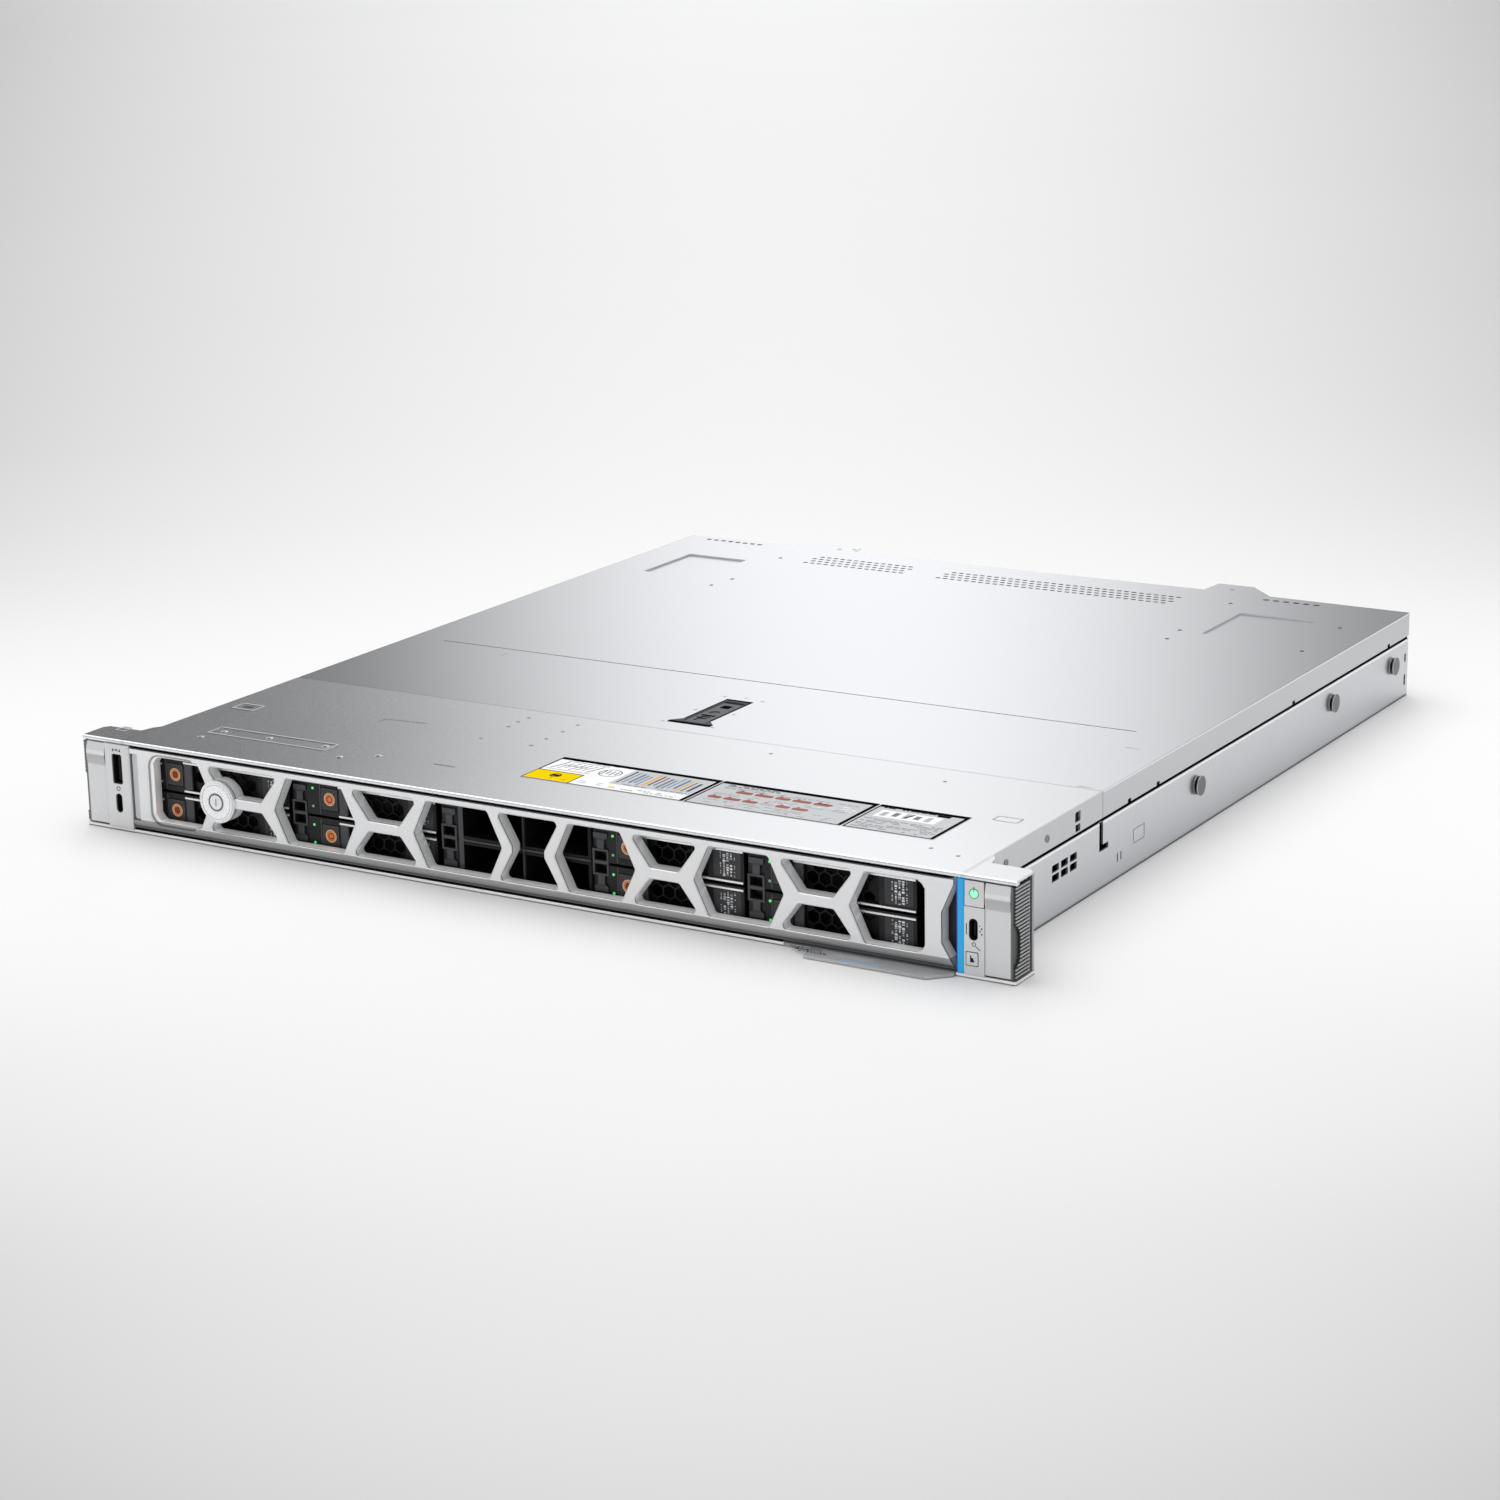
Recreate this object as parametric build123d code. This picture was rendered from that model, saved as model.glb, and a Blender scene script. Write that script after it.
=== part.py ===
from build123d import *
import math
import os

os.makedirs("parts", exist_ok=True)

# 1u rack server. Millimetres. +X right seen from the front, +Y to the rear, +Z up.
# Origin: underside, on the centre line, in the plane where the rack ears meet the rack posts.

# ---------------------------------------------------------------- driving dimensions
W_EAR = 482.0          # over the rack ears
W_CH = 434.0           # over the chassis sides
H = 43.5               # underside to cover top, inside one 44.45 unit
T = 1.0                # sheet thickness
Y_FRONT = -17.0        # front plane of the ears
Y_SPLIT = 114.0        # front edge of the removable cover
Y_REAR = 481.0         # outer face of the rear wall
Z_STEP = 30.2          # where the side wall joggles in under the cover skirt
Z_SKIRT = 31.6         # lower edge of the cover skirt
EIA_X = 232.55         # half of the 465.1 rack hole spacing
SCREW_Z = 21.8         # rack screw height
CARRIER_H = 15.9
ROW_Z = (3.4, 20.5)    # undersides of the two drive rows
FACE_Y = -9.0          # front faces of the drive carriers
BEZEL_Y0, BEZEL_Y1 = -17.5, -11.0
BEZEL_Z0, BEZEL_Z1 = 2.5, 40.4
BEZEL_PIVOT = (213.0, -17.3)
LOCK_X, LOCK_Z = -161.7, 22.05
EAR_PIVOT = (238.6, -4.2)
BEZEL_PIVOT = (211.4, -15.3)
STUD_Y = (214.0, 377.0, 459.0)
STUD_Z = 20.3
COVER_TRAVEL = 12.0
TAG_TRAVEL = 40.0
PSU_X0, PSU_X1 = 138.5, 212.0
PSU_Y0 = 296.0
FAN_X = (-150.0, -50.0, 50.0, 150.0)
FAN_Y0, FAN_Y1 = 114.5, 142.5
FAN_Z = 21.2           # fan axis height

XC = W_CH / 2


# ---------------------------------------------------------------- helpers
def box(x0, x1, y0, y1, z0, z1):
    x0, x1 = min(x0, x1), max(x0, x1)
    return Solid.make_box(x1 - x0, y1 - y0, z1 - z0, Plane(origin=(x0, y0, z0)))


def rod(p, d, r, h):
    return Solid.make_cylinder(r, h, Plane(origin=p, z_dir=d))


def wire(points, r=0.0, skip=()):
    w = Wire.make_polygon([Vector(*p) for p in points], close=True)
    if r > 0:
        vs = w.vertices()
        if skip:
            vs = [v for v in vs if not any((Vector(*v) - Vector(*points[i])).length < 1e-4 for i in skip)]
        w = w.fillet_2d(r, vs)
    return w


def slab(outer, holes, d):
    s = Solid.extrude(Face(outer, holes) if holes else Face(outer), Vector(*d))
    if s.volume < 0:
        s = Solid(s.wrapped.Reversed())
    return s


def prism_z(pts, z0, z1, r=0.0, holes=(), skip=()):
    return slab(wire([(x, y, z0) for x, y in pts], r, skip), list(holes), (0, 0, z1 - z0))


def prism_y(pts, y0, y1, r=0.0, holes=(), skip=()):
    return slab(wire([(x, y0, z) for x, z in pts], r, skip), list(holes), (0, y1 - y0, 0))


def prism_x(pts, x0, x1, r=0.0, holes=(), skip=()):
    return slab(wire([(x0, y, z) for y, z in pts], r, skip), list(holes), (x1 - x0, 0, 0))


def rect(x0, x1, y0, y1):
    return [(x0, y0), (x1, y0), (x1, y1), (x0, y1)]


def hexagon(cx, cy, r, turn=30.0):
    return [(cx + r * math.cos(math.radians(turn + 60 * k)), cy + r * math.sin(math.radians(turn + 60 * k))) for k in range(6)]


def oblong(cx, cy, lx, ly):
    """Corner points and radius of a slot with round ends, centred at cx, cy."""
    return rect(cx - lx / 2, cx + lx / 2, cy - ly / 2, cy + ly / 2), min(lx, ly) / 2 * 0.98


def cut(a, *tools):
    tools = [t for t in tools if t is not None]
    return a.cut(*tools) if tools else a


def inter(a, b):
    """Common volume of two solids, as one solid."""
    got = a.intersect(b)
    return sorted(got.solids(), key=lambda q: -q.volume)[0]


def mirror_x(shape):
    return shape.mirror(Plane.YZ)


NODES = {}


def node(name, *shapes):
    solids = []
    for s in shapes:
        solids += list(s.solids()) if hasattr(s, "solids") else [x for y in s for x in y.solids()]
    NODES[name] = solids
    export_step(Compound(solids), "parts/%s.step" % name)


def both(x):
    return (x, mirror_x(x))


# ---------------------------------------------------------------- chassis tray
# Floor and lower side walls from one sheet; the walls joggle in above Z_STEP so the cover skirts are flush.
U = [(-XC, 0), (XC, 0), (XC, Z_STEP), (XC - 1.8, Z_STEP), (XC - 1.8, 42.2), (XC - 2.8, 42.2), (XC - 2.8, Z_STEP - T),
     (XC - T, Z_STEP - T), (XC - T, T), (-XC + T, T), (-XC + T, Z_STEP - T), (-XC + 2.8, Z_STEP - T), (-XC + 2.8, 42.2),
     (-XC + 1.8, 42.2), (-XC + 1.8, Z_STEP), (-XC, Z_STEP)]
tray = prism_y(U, -10.0, Y_REAR)
side_tools = []
for i in range(3):
    for j in range(2):
        pts, r = rect(64.6 + 8.6 * i, 71.2 + 8.6 * i, 16.2 + 4.2 * j, 19.4 + 4.2 * j), 0.7
        side_tools.append(prism_x(pts, XC - 1.5, XC + 0.5, r))
side_tools.append(prism_x([(110.6, 17.0), (119.6, 17.0), (119.6, 19.6), (114.2, 19.6), (114.2, Z_STEP + 1.0), (110.6, Z_STEP + 1.0)], XC - 1.5, XC + 0.5))
side_tools.append(prism_x(rect(476.0, 478.2, 18.6, 22.8), XC - 1.5, XC + 0.5, 0.5))
side_tools.append(prism_x(rect(476.0, 478.2, 6.3, 11.8), XC - 1.5, XC + 0.5, 0.5))
side_tools += [prism_x(rect(a, a + 1.0, 7.6, 11.6), XC - 1.5, XC + 0.5, 0.4) for a in (128.6, 132.2)]
side_tools.append(rod((XC - 1.5, 26.0, 12.0), (1, 0, 0), 1.3, 2))
# shallow square emboss line, 0.35 deep
side_tools.append(prism_x(rect(145, 157, 11.2, 18.3), XC - 0.35, XC + 0.5, 0.8,
                          holes=[wire([(XC - 0.35, y, z) for y, z in rect(145.8, 156.2, 12.0, 17.5)], 0.6)]))
# J slots that the cover pins ride in
PIN_Y = (141.0, 205.0, 327.0, 453.0)
for yp in PIN_Y:
    side_tools.append(box(XC - 3.2, XC - 1.4, yp - 1.6, yp + COVER_TRAVEL + 1.6, 33.7, 36.7))
    side_tools.append(box(XC - 3.2, XC - 1.4, yp + COVER_TRAVEL - 1.6, yp + COVER_TRAVEL + 1.6, 35.0, 43.0))
tray = cut(tray, *side_tools, *[mirror_x(t) for t in side_tools])
# stiffening grooves and drain slots in the floor
floor_tools = [box(x - 1.2, x + 1.2, 60, 100, -0.1, 0.35) for x in (-150, -90, -30, 30, 90)]
floor_tools += [box(x - 1.2, x + 1.2, 180, 440, -0.1, 0.35) for x in (-170, -60, 60, 170)]
tray = cut(tray, *floor_tools)
STANDOFFS = [(-200, 152), (-70, 152), (70, 152), (200, 152), (-200, 284), (-125, 300), (0, 300), (125, 300), (200, 284), (-125, 400), (0, 400), (125, 400), (-125, 462), (125, 462)]
standoffs = [rod((x, y, T - 0.4), (0, 0, 1), 2.8, 3.4) for x, y in STANDOFFS]
node("chassis_tray", tray.fuse(*standoffs))

# rail studs: washer, neck and head
studs = []
for y in STUD_Y:
    s = rod((XC, y, STUD_Z), (1, 0, 0), 4.2, 0.4).fuse(rod((XC + 0.4, y, STUD_Z), (1, 0, 0), 2.0, 1.2), rod((XC + 1.6, y, STUD_Z), (1, 0, 0), 4.6, 0.6))
    studs += [s, mirror_x(s)]

# ---------------------------------------------------------------- front top panel with the ear tops and the rolled lip
half = [(0, Y_FRONT), (241.0, Y_FRONT), (241.0, -2.0), (239.0, 0.6), (221.0, 1.0), (219.5, 7.5), (XC, 11.0), (XC, Y_SPLIT - 0.3), (0, Y_SPLIT - 0.3)]
outline = [p for p in half[1:-1]] + [(-x, y) for x, y in reversed(half[1:-1])]
panel = prism_z(outline, H - T, H)
lip = cut(prism_x(rect(-17.0, -11.0, 41.4, 43.5), -241.0, 241.0, 1.0), box(-242, 242, -13.6, -10.0, 41, 44))
panel = cut(panel, box(-242, 242, -18, -14.0, 42, 44)).fuse(lip)
skirt = box(XC - T, XC, 11.0, Y_SPLIT - 0.3, Z_SKIRT, H - T)
panel = panel.fuse(skirt, mirror_x(skirt))
front_dots = [(-72.2, 101.7), (-72.5, 93.5), (-71.8, 84.5), (-44.6, 101.5), (-44.3, 88.5), (-44.1, 74.8), (-44.1, 62.4), (-71.5, 62.1),
              (-188, 3.7), (-109.3, 5.4), (-95.1, 15.6), (190.3, 7.4), (205.0, 3.0), (60.0, 100.0), (150.0, 96.0), (-168.0, 70.0)]
tools = [rod((x, y, H - 0.45), (0, 0, 1), 0.95, 1) for x, y in front_dots]
tools.append(box(-65.5, -54.0, 16.3, 17.7, H - 0.6, H + 1))
tools.append(prism_z(rect(-191, -120, 12, 22), H - 0.3, H + 1, 4.6, holes=[wire([(x, y, H - 0.3) for x, y in rect(-190.2, -120.8, 12.8, 21.2)], 4.0)]))
for sx, cx, cy in ((1, -204.0, 54.0), (1, 200.0, 57.6)):
    tools.append(prism_z(rect(cx - 6, cx + 6, cy - 3.4, cy + 3.4), H - 0.3, H + 1, 1.0, holes=[wire([(x, y, H - 0.3) for x, y in rect(cx - 5.4, cx + 5.4, cy - 2.8, cy + 2.8)], 0.6)]))
tools.append(prism_z([(-131.8, 68.6), (-131.8, 70.0), (-116, 71.6), (-109.1, 72.2), (-109.1, 71.0), (-130.6, 68.9), (-130.6, 64.0), (-131.8, 64.0)], H - 0.4, H + 1))
for y in (22.0, 60.0):
    tools += [rod((XC - 1.5, y, 36.9), (1, 0, 0), 1.05, 3), rod((-XC - 1.5, y, 36.9), (1, 0, 0), 1.05, 3)]
for s in (1, -1):
    tools.append(prism_x(rect(86.6, 91.8, 36.6, 41.0), XC - 1.6, XC + 1, 0.4) if s > 0 else mirror_x(prism_x(rect(86.6, 91.8, 36.6, 41.0), XC - 1.6, XC + 1, 0.4)))
    tools.append(prism_x(rect(87.0, 91.6, 32.2, 35.4), XC - 1.6, XC + 1, 0.4) if s > 0 else mirror_x(prism_x(rect(87.0, 91.6, 32.2, 35.4), XC - 1.6, XC + 1, 0.4)))
# blind hole for the pin of the bezel hinge
tools.append(rod((BEZEL_PIVOT[0], BEZEL_PIVOT[1], 41.0), (0, 0, 1), 1.0, 2.0))
panel = cut(panel, *tools)
node("front_top_panel", panel)

# service label: three thin plates on the front panel
node("service_label", box(-19.5, 64.0, 18.0, 53.0, H, H + 0.12), box(64.8, 141.8, 18.0, 53.0, H, H + 0.12), box(142.6, 185.5, 18.0, 53.0, H, H + 0.12))

# ---------------------------------------------------------------- front flange: lower lip rail, ear plates and the ear hinge pins
def lip_rail(a, b, y_back):
    return cut(prism_x(rect(-17.0, 4.0, 0.0, 1.6), a, b, 0.75), box(min(a, b) - 1, max(a, b) + 1, y_back, 6.0, -1, 3))


TAG_X0, TAG_X1 = 134.6, 213.9
flange = [lip_rail(-XC, TAG_X0 - 0.4, -10.0), lip_rail(TAG_X1 + 0.4, XC, -10.0)]


def ear_bracket():
    base = lip_rail(XC, 241.0, 0.0)
    plate = box(XC, 240.6, -1.5, 0.0, 1.6, 42.5)
    plate = cut(plate, rod((EIA_X, -2, SCREW_Z), (0, 1, 0), 2.42, 4))
    pin = rod((EAR_PIVOT[0], EAR_PIVOT[1], 1.6), (0, 0, 1), 1.0, 40.9)
    return base.fuse(plate), pin


eb, ep = ear_bracket()
right_ear = eb.fuse(flange[1])
left_ear = mirror_x(eb).fuse(flange[0])
node("front_flange", right_ear, left_ear, ep, mirror_x(ep))


# ---------------------------------------------------------------- control panels in the ears
def u_port(cx, z0, z1, w, r):
    return wire([(x, -20.0, z) for x, z in rect(cx - w / 2, cx + w / 2, z0, z1)], r)


def ring_y(cx, z0, z1, w, r, t, y0, y1):
    """A hollow port shell, open to the front."""
    outer = prism_y(rect(cx - w / 2, cx + w / 2, z0, z1), y0, y1, r)
    inner = prism_y(rect(cx - w / 2 + t, cx + w / 2 - t, z0 + t, z1 - t), y0 - 1, y1 - 1.5, max(r - t, 0.2))
    return outer.cut(inner)


LP_X = -220.3
lcp = box(-227.7, -213.0, -17.9, -10.3, 1.9, 41.4).fuse(box(-227.4, -XC, -10.3, -1.5, 1.6, 41.4))
lcp = cut(lcp, prism_y(rect(LP_X - 2.9, LP_X + 2.9, 22.6, 36.9), -19, -6.0, 1.0), prism_y(rect(LP_X - 1.9, LP_X + 1.9, 8.9, 18.0), -19, -8.0, 1.8))
lcp = lcp.chamfer(0.5, None, [e for e in lcp.edges() if abs(e.center().Y + 17.9) < 1e-3 and e.length > 30])
node("left_control_panel", lcp)

RP_X = 222.2
rcp = box(218.0, 227.2, -17.0, -1.5, 1.6, 41.4)
rcp = cut(rcp, box(217.9, 227.3, -18, -11.0, 30.2, 41.5), box(219.5, 225.5, -11.1, -9.0, 33.0, 39.0),
          prism_y(rect(RP_X - 2.0, RP_X + 2.0, 16.2, 25.4), -18, -8.0, 1.9),
          prism_y(rect(218.7, 224.5, 5.3, 11.4), -18, -11.0, 0.5))
node("right_control_panel", rcp)

shells = [ring_y(LP_X, 22.7, 36.8, 5.6, 0.9, 0.5, -17.3, -6.2), ring_y(LP_X, 9.0, 17.9, 3.6, 1.7, 0.4, -17.3, -8.2), ring_y(RP_X, 16.3, 25.3, 3.8, 1.8, 0.4, -16.9, -8.2)]
tongues = [box(LP_X - 0.6, LP_X + 0.6, -16.0, -7.7, 24.0, 35.5), box(LP_X - 0.35, LP_X + 0.35, -16.0, -9.7, 10.6, 16.3), box(RP_X - 0.35, RP_X + 0.35, -15.6, -9.7, 18.0, 23.6)]
node("front_port_shells", *shells, *tongues)

node("status_light_strip", prism_z([(214.7, -16.6), (215.1, -17.0), (217.4, -17.0), (217.7, -16.7), (217.7, -12.5), (214.7, -12.5)], 1.9, 41.2))

# buttons: face, stem and spring collar
pb = prism_y(rect(218.3, 226.9, 30.5, 41.1), -17.0, -12.6, 0.4).fuse(rod((222.5, -12.6, 36.0), (0, 1, 0), 1.8, 2.4))
node("power_button", pb)
ib = prism_y(rect(219.05, 224.15, 5.65, 11.05), -17.1, -12.6, 0.4)
node("id_button", ib)


# ---------------------------------------------------------------- ear levers: smooth cap, ribbed grip, captive screw
def ear_cap(x_in):
    prof = [(-17.0, 2.5), (-17.0, 29.9), (-17.6, 34.2), (-17.5, 37.0), (-16.5, 40.9), (-15.2, 40.9), (-15.4, 36.0), (-15.2, 2.5)]
    face = prism_x(prof, x_in, 238.8)
    inner = box(x_in, x_in + 1.0, -15.3, -12.0, 2.5, 40.9)
    return face.fuse(inner)


def ear_grip():
    # comb profile: 25 ridges up the outer face
    pitch, n, z0 = 1.54, 25, 2.4
    pts = [(238.9, z0)]
    for i in range(n):
        a = z0 + i * pitch
        pts += [(240.3, a), (240.3, a + 0.38), (241.0, a + 0.55), (241.0, a + 1.36)]
    pts += [(240.3, z0 + n * pitch), (238.9, z0 + n * pitch)]
    comb = prism_y([(x, z) for x, z in pts], -17.0, -4.4)
    # the finger notch: the ridges fall back from the front edge between z 7 and z 25
    notch = prism_x([(-17.6, 7.0), (-15.6, 7.4), (-13.2, 9.6), (-12.6, 12.0), (-12.6, 19.5), (-13.4, 22.4), (-15.6, 24.8), (-17.6, 25.6)], 239.9, 242.0)
    comb = cut(comb, notch, prism_z([(237, -18), (242, -18), (242, -15.6), (240.9, -16.6), (239.6, -17.0), (237, -17.0)], 0, 45))
    barrel = rod((EAR_PIVOT[0], EAR_PIVOT[1], 2.5), (0, 0, 1), 2.1, 38.3)
    web = box(236.6, 239.2, -6.4, -4.4, 2.5, 40.8)
    comb = comb.fuse(barrel, web, box(238.8, 239.0, -17.0, -4.4, 2.5, 40.8))
    return cut(comb, rod((EAR_PIVOT[0], EAR_PIVOT[1], 0), (0, 0, 1), 1.08, 45))


grip = ear_grip()
node("right_ear_cap", ear_cap(227.5))
node("left_ear_cap", mirror_x(ear_cap(228.1)))
node("right_ear_grip", grip)
node("left_ear_grip", mirror_x(grip))


def ear_screw():
    head = rod((EIA_X, -9.4, SCREW_Z), (0, 1, 0), 3.0, 5.6)
    n = 14
    flutes = [rod((EIA_X + 3.1 * math.cos(2 * math.pi * k / n), -9.0, SCREW_Z + 3.1 * math.sin(2 * math.pi * k / n)), (0, 1, 0), 0.35, 4.0) for k in range(n)]
    head = cut(head, *flutes, box(EIA_X - 0.5, EIA_X + 0.5, -9.5, -8.2, SCREW_Z - 2.2, SCREW_Z + 2.2), box(EIA_X - 2.2, EIA_X + 2.2, -9.5, -8.2, SCREW_Z - 0.5, SCREW_Z + 0.5))
    neck = rod((EIA_X, -3.8, SCREW_Z), (0, 1, 0), 2.1, 4.4)
    return head.fuse(neck, rod((EIA_X, 0.4, SCREW_Z), (0, 1, 0), 2.5, 9.0))


node("right_ear_screw", ear_screw())
node("left_ear_screw", mirror_x(ear_screw()))

# ---------------------------------------------------------------- bezel: perforated front cover with a lattice of struts
bez = prism_y([(-212.7, BEZEL_Z0), (213.4, BEZEL_Z0), (213.4, 4.2), (207.9, 12.9), (207.9, 26.1), (213.4, 38.4), (213.4, BEZEL_Z1), (-212.7, BEZEL_Z1)],
              BEZEL_Y0, BEZEL_Y1)
ZB, ZT, ZM = 7.2, 37.9, 22.3           # window bottom and top, lattice centre height
BAR0, BAR1 = 19.6, 24.4                # horizontal bar of each pair
HS = 2.35                              # half strut width
J = [-163.3, -132.5, -82.1, -55.5, -3.4, 18.8, 64.8, 88.6, 137.2, 162.9]  # lattice junctions, left to right


def slant(xj, z, d):
    """Strut centre line at height z for the junction xj; d=+1 leans out to +X away from the centre height."""
    k = 7.6 / (ZT - ZM)
    return xj + d * k * abs(z - ZM)


windows = []


def hex_window(xa, xb):
    """Between a '<' junction at xa and a '>' junction at xb: widest at the centre height."""
    windows.append([(slant(xa, ZB, 1) + HS, ZB), (slant(xb, ZB, -1) - HS, ZB), (xb - HS - 0.2, ZM), (slant(xb, ZT, -1) - HS, ZT), (slant(xa, ZT, 1) + HS, ZT), (xa + HS + 0.2, ZM)])


def pair_windows(xa, xb):
    """Between a '>' junction at xa and a '<' junction at xb: two windows split by the horizontal bar."""
    windows.append([(slant(xa, ZT, -1) + HS, ZT), (slant(xa, BAR1, -1) + HS + 3.6, BAR1), (slant(xb, BAR1, 1) - HS - 3.6, BAR1), (slant(xb, ZT, 1) - HS, ZT)])
    windows.append([(slant(xa, ZB, -1) + HS, ZB), (slant(xb, ZB, 1) - HS, ZB), (slant(xb, BAR0, 1) - HS - 3.6, BAR0), (slant(xa, BAR0, -1) + HS + 3.6, BAR0)])


def glass_window(xa, xb):
    """Centre window, narrowest at the centre height."""
    windows.append([(slant(xa, ZB, -1) + HS, ZB), (slant(xb, ZB, 1) - HS, ZB), (xb - HS - 0.4, ZM - 1.5), (xb - HS - 0.4, ZM + 1.5), (slant(xb, ZT, 1) - HS, ZT), (slant(xa, ZT, -1) + HS, ZT), (xa + HS + 0.4, ZM + 1.5), (xa + HS + 0.4, ZM - 1.5)])


for k in (0, 2, 6, 8):
    pair_windows(J[k], J[k + 1])
for k in (1, 3, 5, 7):
    hex_window(J[k], J[k + 1])
glass_window(J[4], J[5])
window_tools = []
for w in windows:
    window_tools.append(prism_y(w, BEZEL_Y0 - 1, BEZEL_Y1 + 1, 1.8))
# end windows: slanted inner edge, rounded outer corners
for s in (-1, 1):
    xo = 200.3
    xe = -J[0] if s < 0 else J[9]
    pts = [(s * xo, ZB), (s * (slant(xe, ZB, 1) + HS), ZB), (s * (xe + HS + 0.2), ZM), (s * (slant(xe, ZT, 1) + HS), ZT), (s * xo, ZT)]
    window_tools.append(prism_y(pts, BEZEL_Y0 - 1, BEZEL_Y1 + 1, 1.8).fuse(prism_y(rect(s * 185 if s > 0 else -xo, xo if s > 0 else -185, ZB, ZT), BEZEL_Y0 - 1, BEZEL_Y1 + 1, 4.6)).cut(
        box(s * (xo - 3.0), s * (xo + 1), BEZEL_Y0 - 2, BEZEL_Y1 + 2, ZB - 1, ZB + 3.0).cut(rod((s * (xo - 4.6), BEZEL_Y0 - 2, ZB + 4.6), (0, 1, 0), 4.6, 12)),
        box(s * (xo - 3.0), s * (xo + 1), BEZEL_Y0 - 2, BEZEL_Y1 + 2, ZT - 3.0, ZT + 1).cut(rod((s * (xo - 4.6), BEZEL_Y0 - 2, ZT - 4.6), (0, 1, 0), 4.6, 12))))
bez = cut(bez, *window_tools)
breaks = [e for e in bez.edges() if abs(e.center().Y - BEZEL_Y0) < 1e-3 and 6.5 < e.center().Z < 38.5 and abs(e.center().X) < 205]
bez = bez.chamfer(0.45, None, breaks)
slope_a = wire([(x, BEZEL_Y0 - 0.01, z) for x, z in rect(-203.0, -172.0, 4.7, 39.7)], 7.0)
slope_b = wire([(x, BEZEL_Y0 + 2.2, z) for x, z in rect(-199.9, -175.1, 7.7, 37.4)], 4.2)
slope = inter(Solid.make_loft([slope_a, slope_b]), box(-206, -176.0, -20, -10, 0, 44))
bez = cut(bez, slope, prism_x([(BEZEL_Y0 - 0.1, 5.0), (BEZEL_Y0, 5.0), (BEZEL_Y0 + 1.3, 2.4), (BEZEL_Y0 - 0.1, 2.4)], -214, 214))
# rosette of the keylock, and its bore
bez = bez.fuse(rod((LOCK_X, -19.1, LOCK_Z), (0, 1, 0), 9.2, 8.1), rod((LOCK_X, -18.5, LOCK_Z), (0, 1, 0), 9.9, 7.5))
bez = cut(bez, rod((LOCK_X, -20, LOCK_Z), (0, 1, 0), 3.45, 12))
# slot for the release lever at the left end
bez = cut(bez, box(-213.5, -208.3, BEZEL_Y0 - 1, BEZEL_Y1 + 1, 6.4, 38.2))
# rear stiffening rib along the top, and two hook lugs at the right end
bez = bez.fuse(box(-205, 205, BEZEL_Y1, BEZEL_Y1 + 0.9, 38.6, 40.0), rod((BEZEL_PIVOT[0], BEZEL_PIVOT[1], 40.0), (0, 0, 1), 0.9, 2.7))
node("bezel_frame", bez)

core = rod((LOCK_X, -19.3, LOCK_Z), (0, 1, 0), 3.4, 8.9)
core = cut(core, box(LOCK_X - 0.5, LOCK_X + 0.5, -19.5, -17.6, LOCK_Z - 1.7, LOCK_Z + 1.7))
cam = prism_y([(LOCK_X - 3.0, LOCK_Z - 2.4), (LOCK_X + 3.0, LOCK_Z - 2.4), (LOCK_X + 2.6, LOCK_Z + 6.8), (LOCK_X - 2.6, LOCK_Z + 6.8)], -10.5, -9.7, 0.8)
node("bezel_lock", core.fuse(cam))
lever = prism_y(rect(-212.3, -208.7, 6.8, 37.8), -16.3, -12.9, 1.2)
node("bezel_release_lever", lever)

# ---------------------------------------------------------------- information tag: pull-out plate under the drives
tag = box(139.0, 202.0, -10.9, 68.0, 1.3, 2.1)
tag = tag.fuse(prism_z([(TAG_X0, -17.0), (147.3, -17.0), (149.2, -26.8), (205.5, -27.0), (TAG_X1, -18.4), (TAG_X1, -10.5), (TAG_X0, -10.5)], 0.2, 1.5))
tag = tag.fuse(box(139.0, 202.0, -10.9, -10.5, 0.2, 2.1))
node("info_tag", tag)

# ---------------------------------------------------------------- drive cage
CX0 = [-202.7, -117.2, -35.2, 43.9, 121.2]      # left and right ends of the five columns
CX1 = [-127.7, -46.2, 34.9, 110.9, 192.4]
BTN_X = [-193.4, -104.8, None, 53.4, 129.6]
LED_X = [-201.4, -114.0, None, 46.0, 123.4]
DIV_X = [-121.9, -39.7, 39.4, 116.6]
cage_wall = 204.0
cage = [box(-cage_wall, cage_wall, -6.0, 104.0, 2.7, 3.1), box(-cage_wall, cage_wall, -6.0, 104.0, 36.7, 37.5), box(-cage_wall, cage_wall, 0.0, 100.0, 19.6, 20.2)]
cage += [box(-cage_wall, -cage_wall + 1.0, -6.0, 104.0, 3.1, 36.7), box(cage_wall - 1.0, cage_wall, -6.0, 104.0, 3.1, 36.7)]
for xd in DIV_X:
    cage.append(box(xd - 0.5, xd + 0.5, 6.0, 104.0, 3.1, 36.7))
body = cage[0].fuse(*cage[1:])
fronts = []
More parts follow.
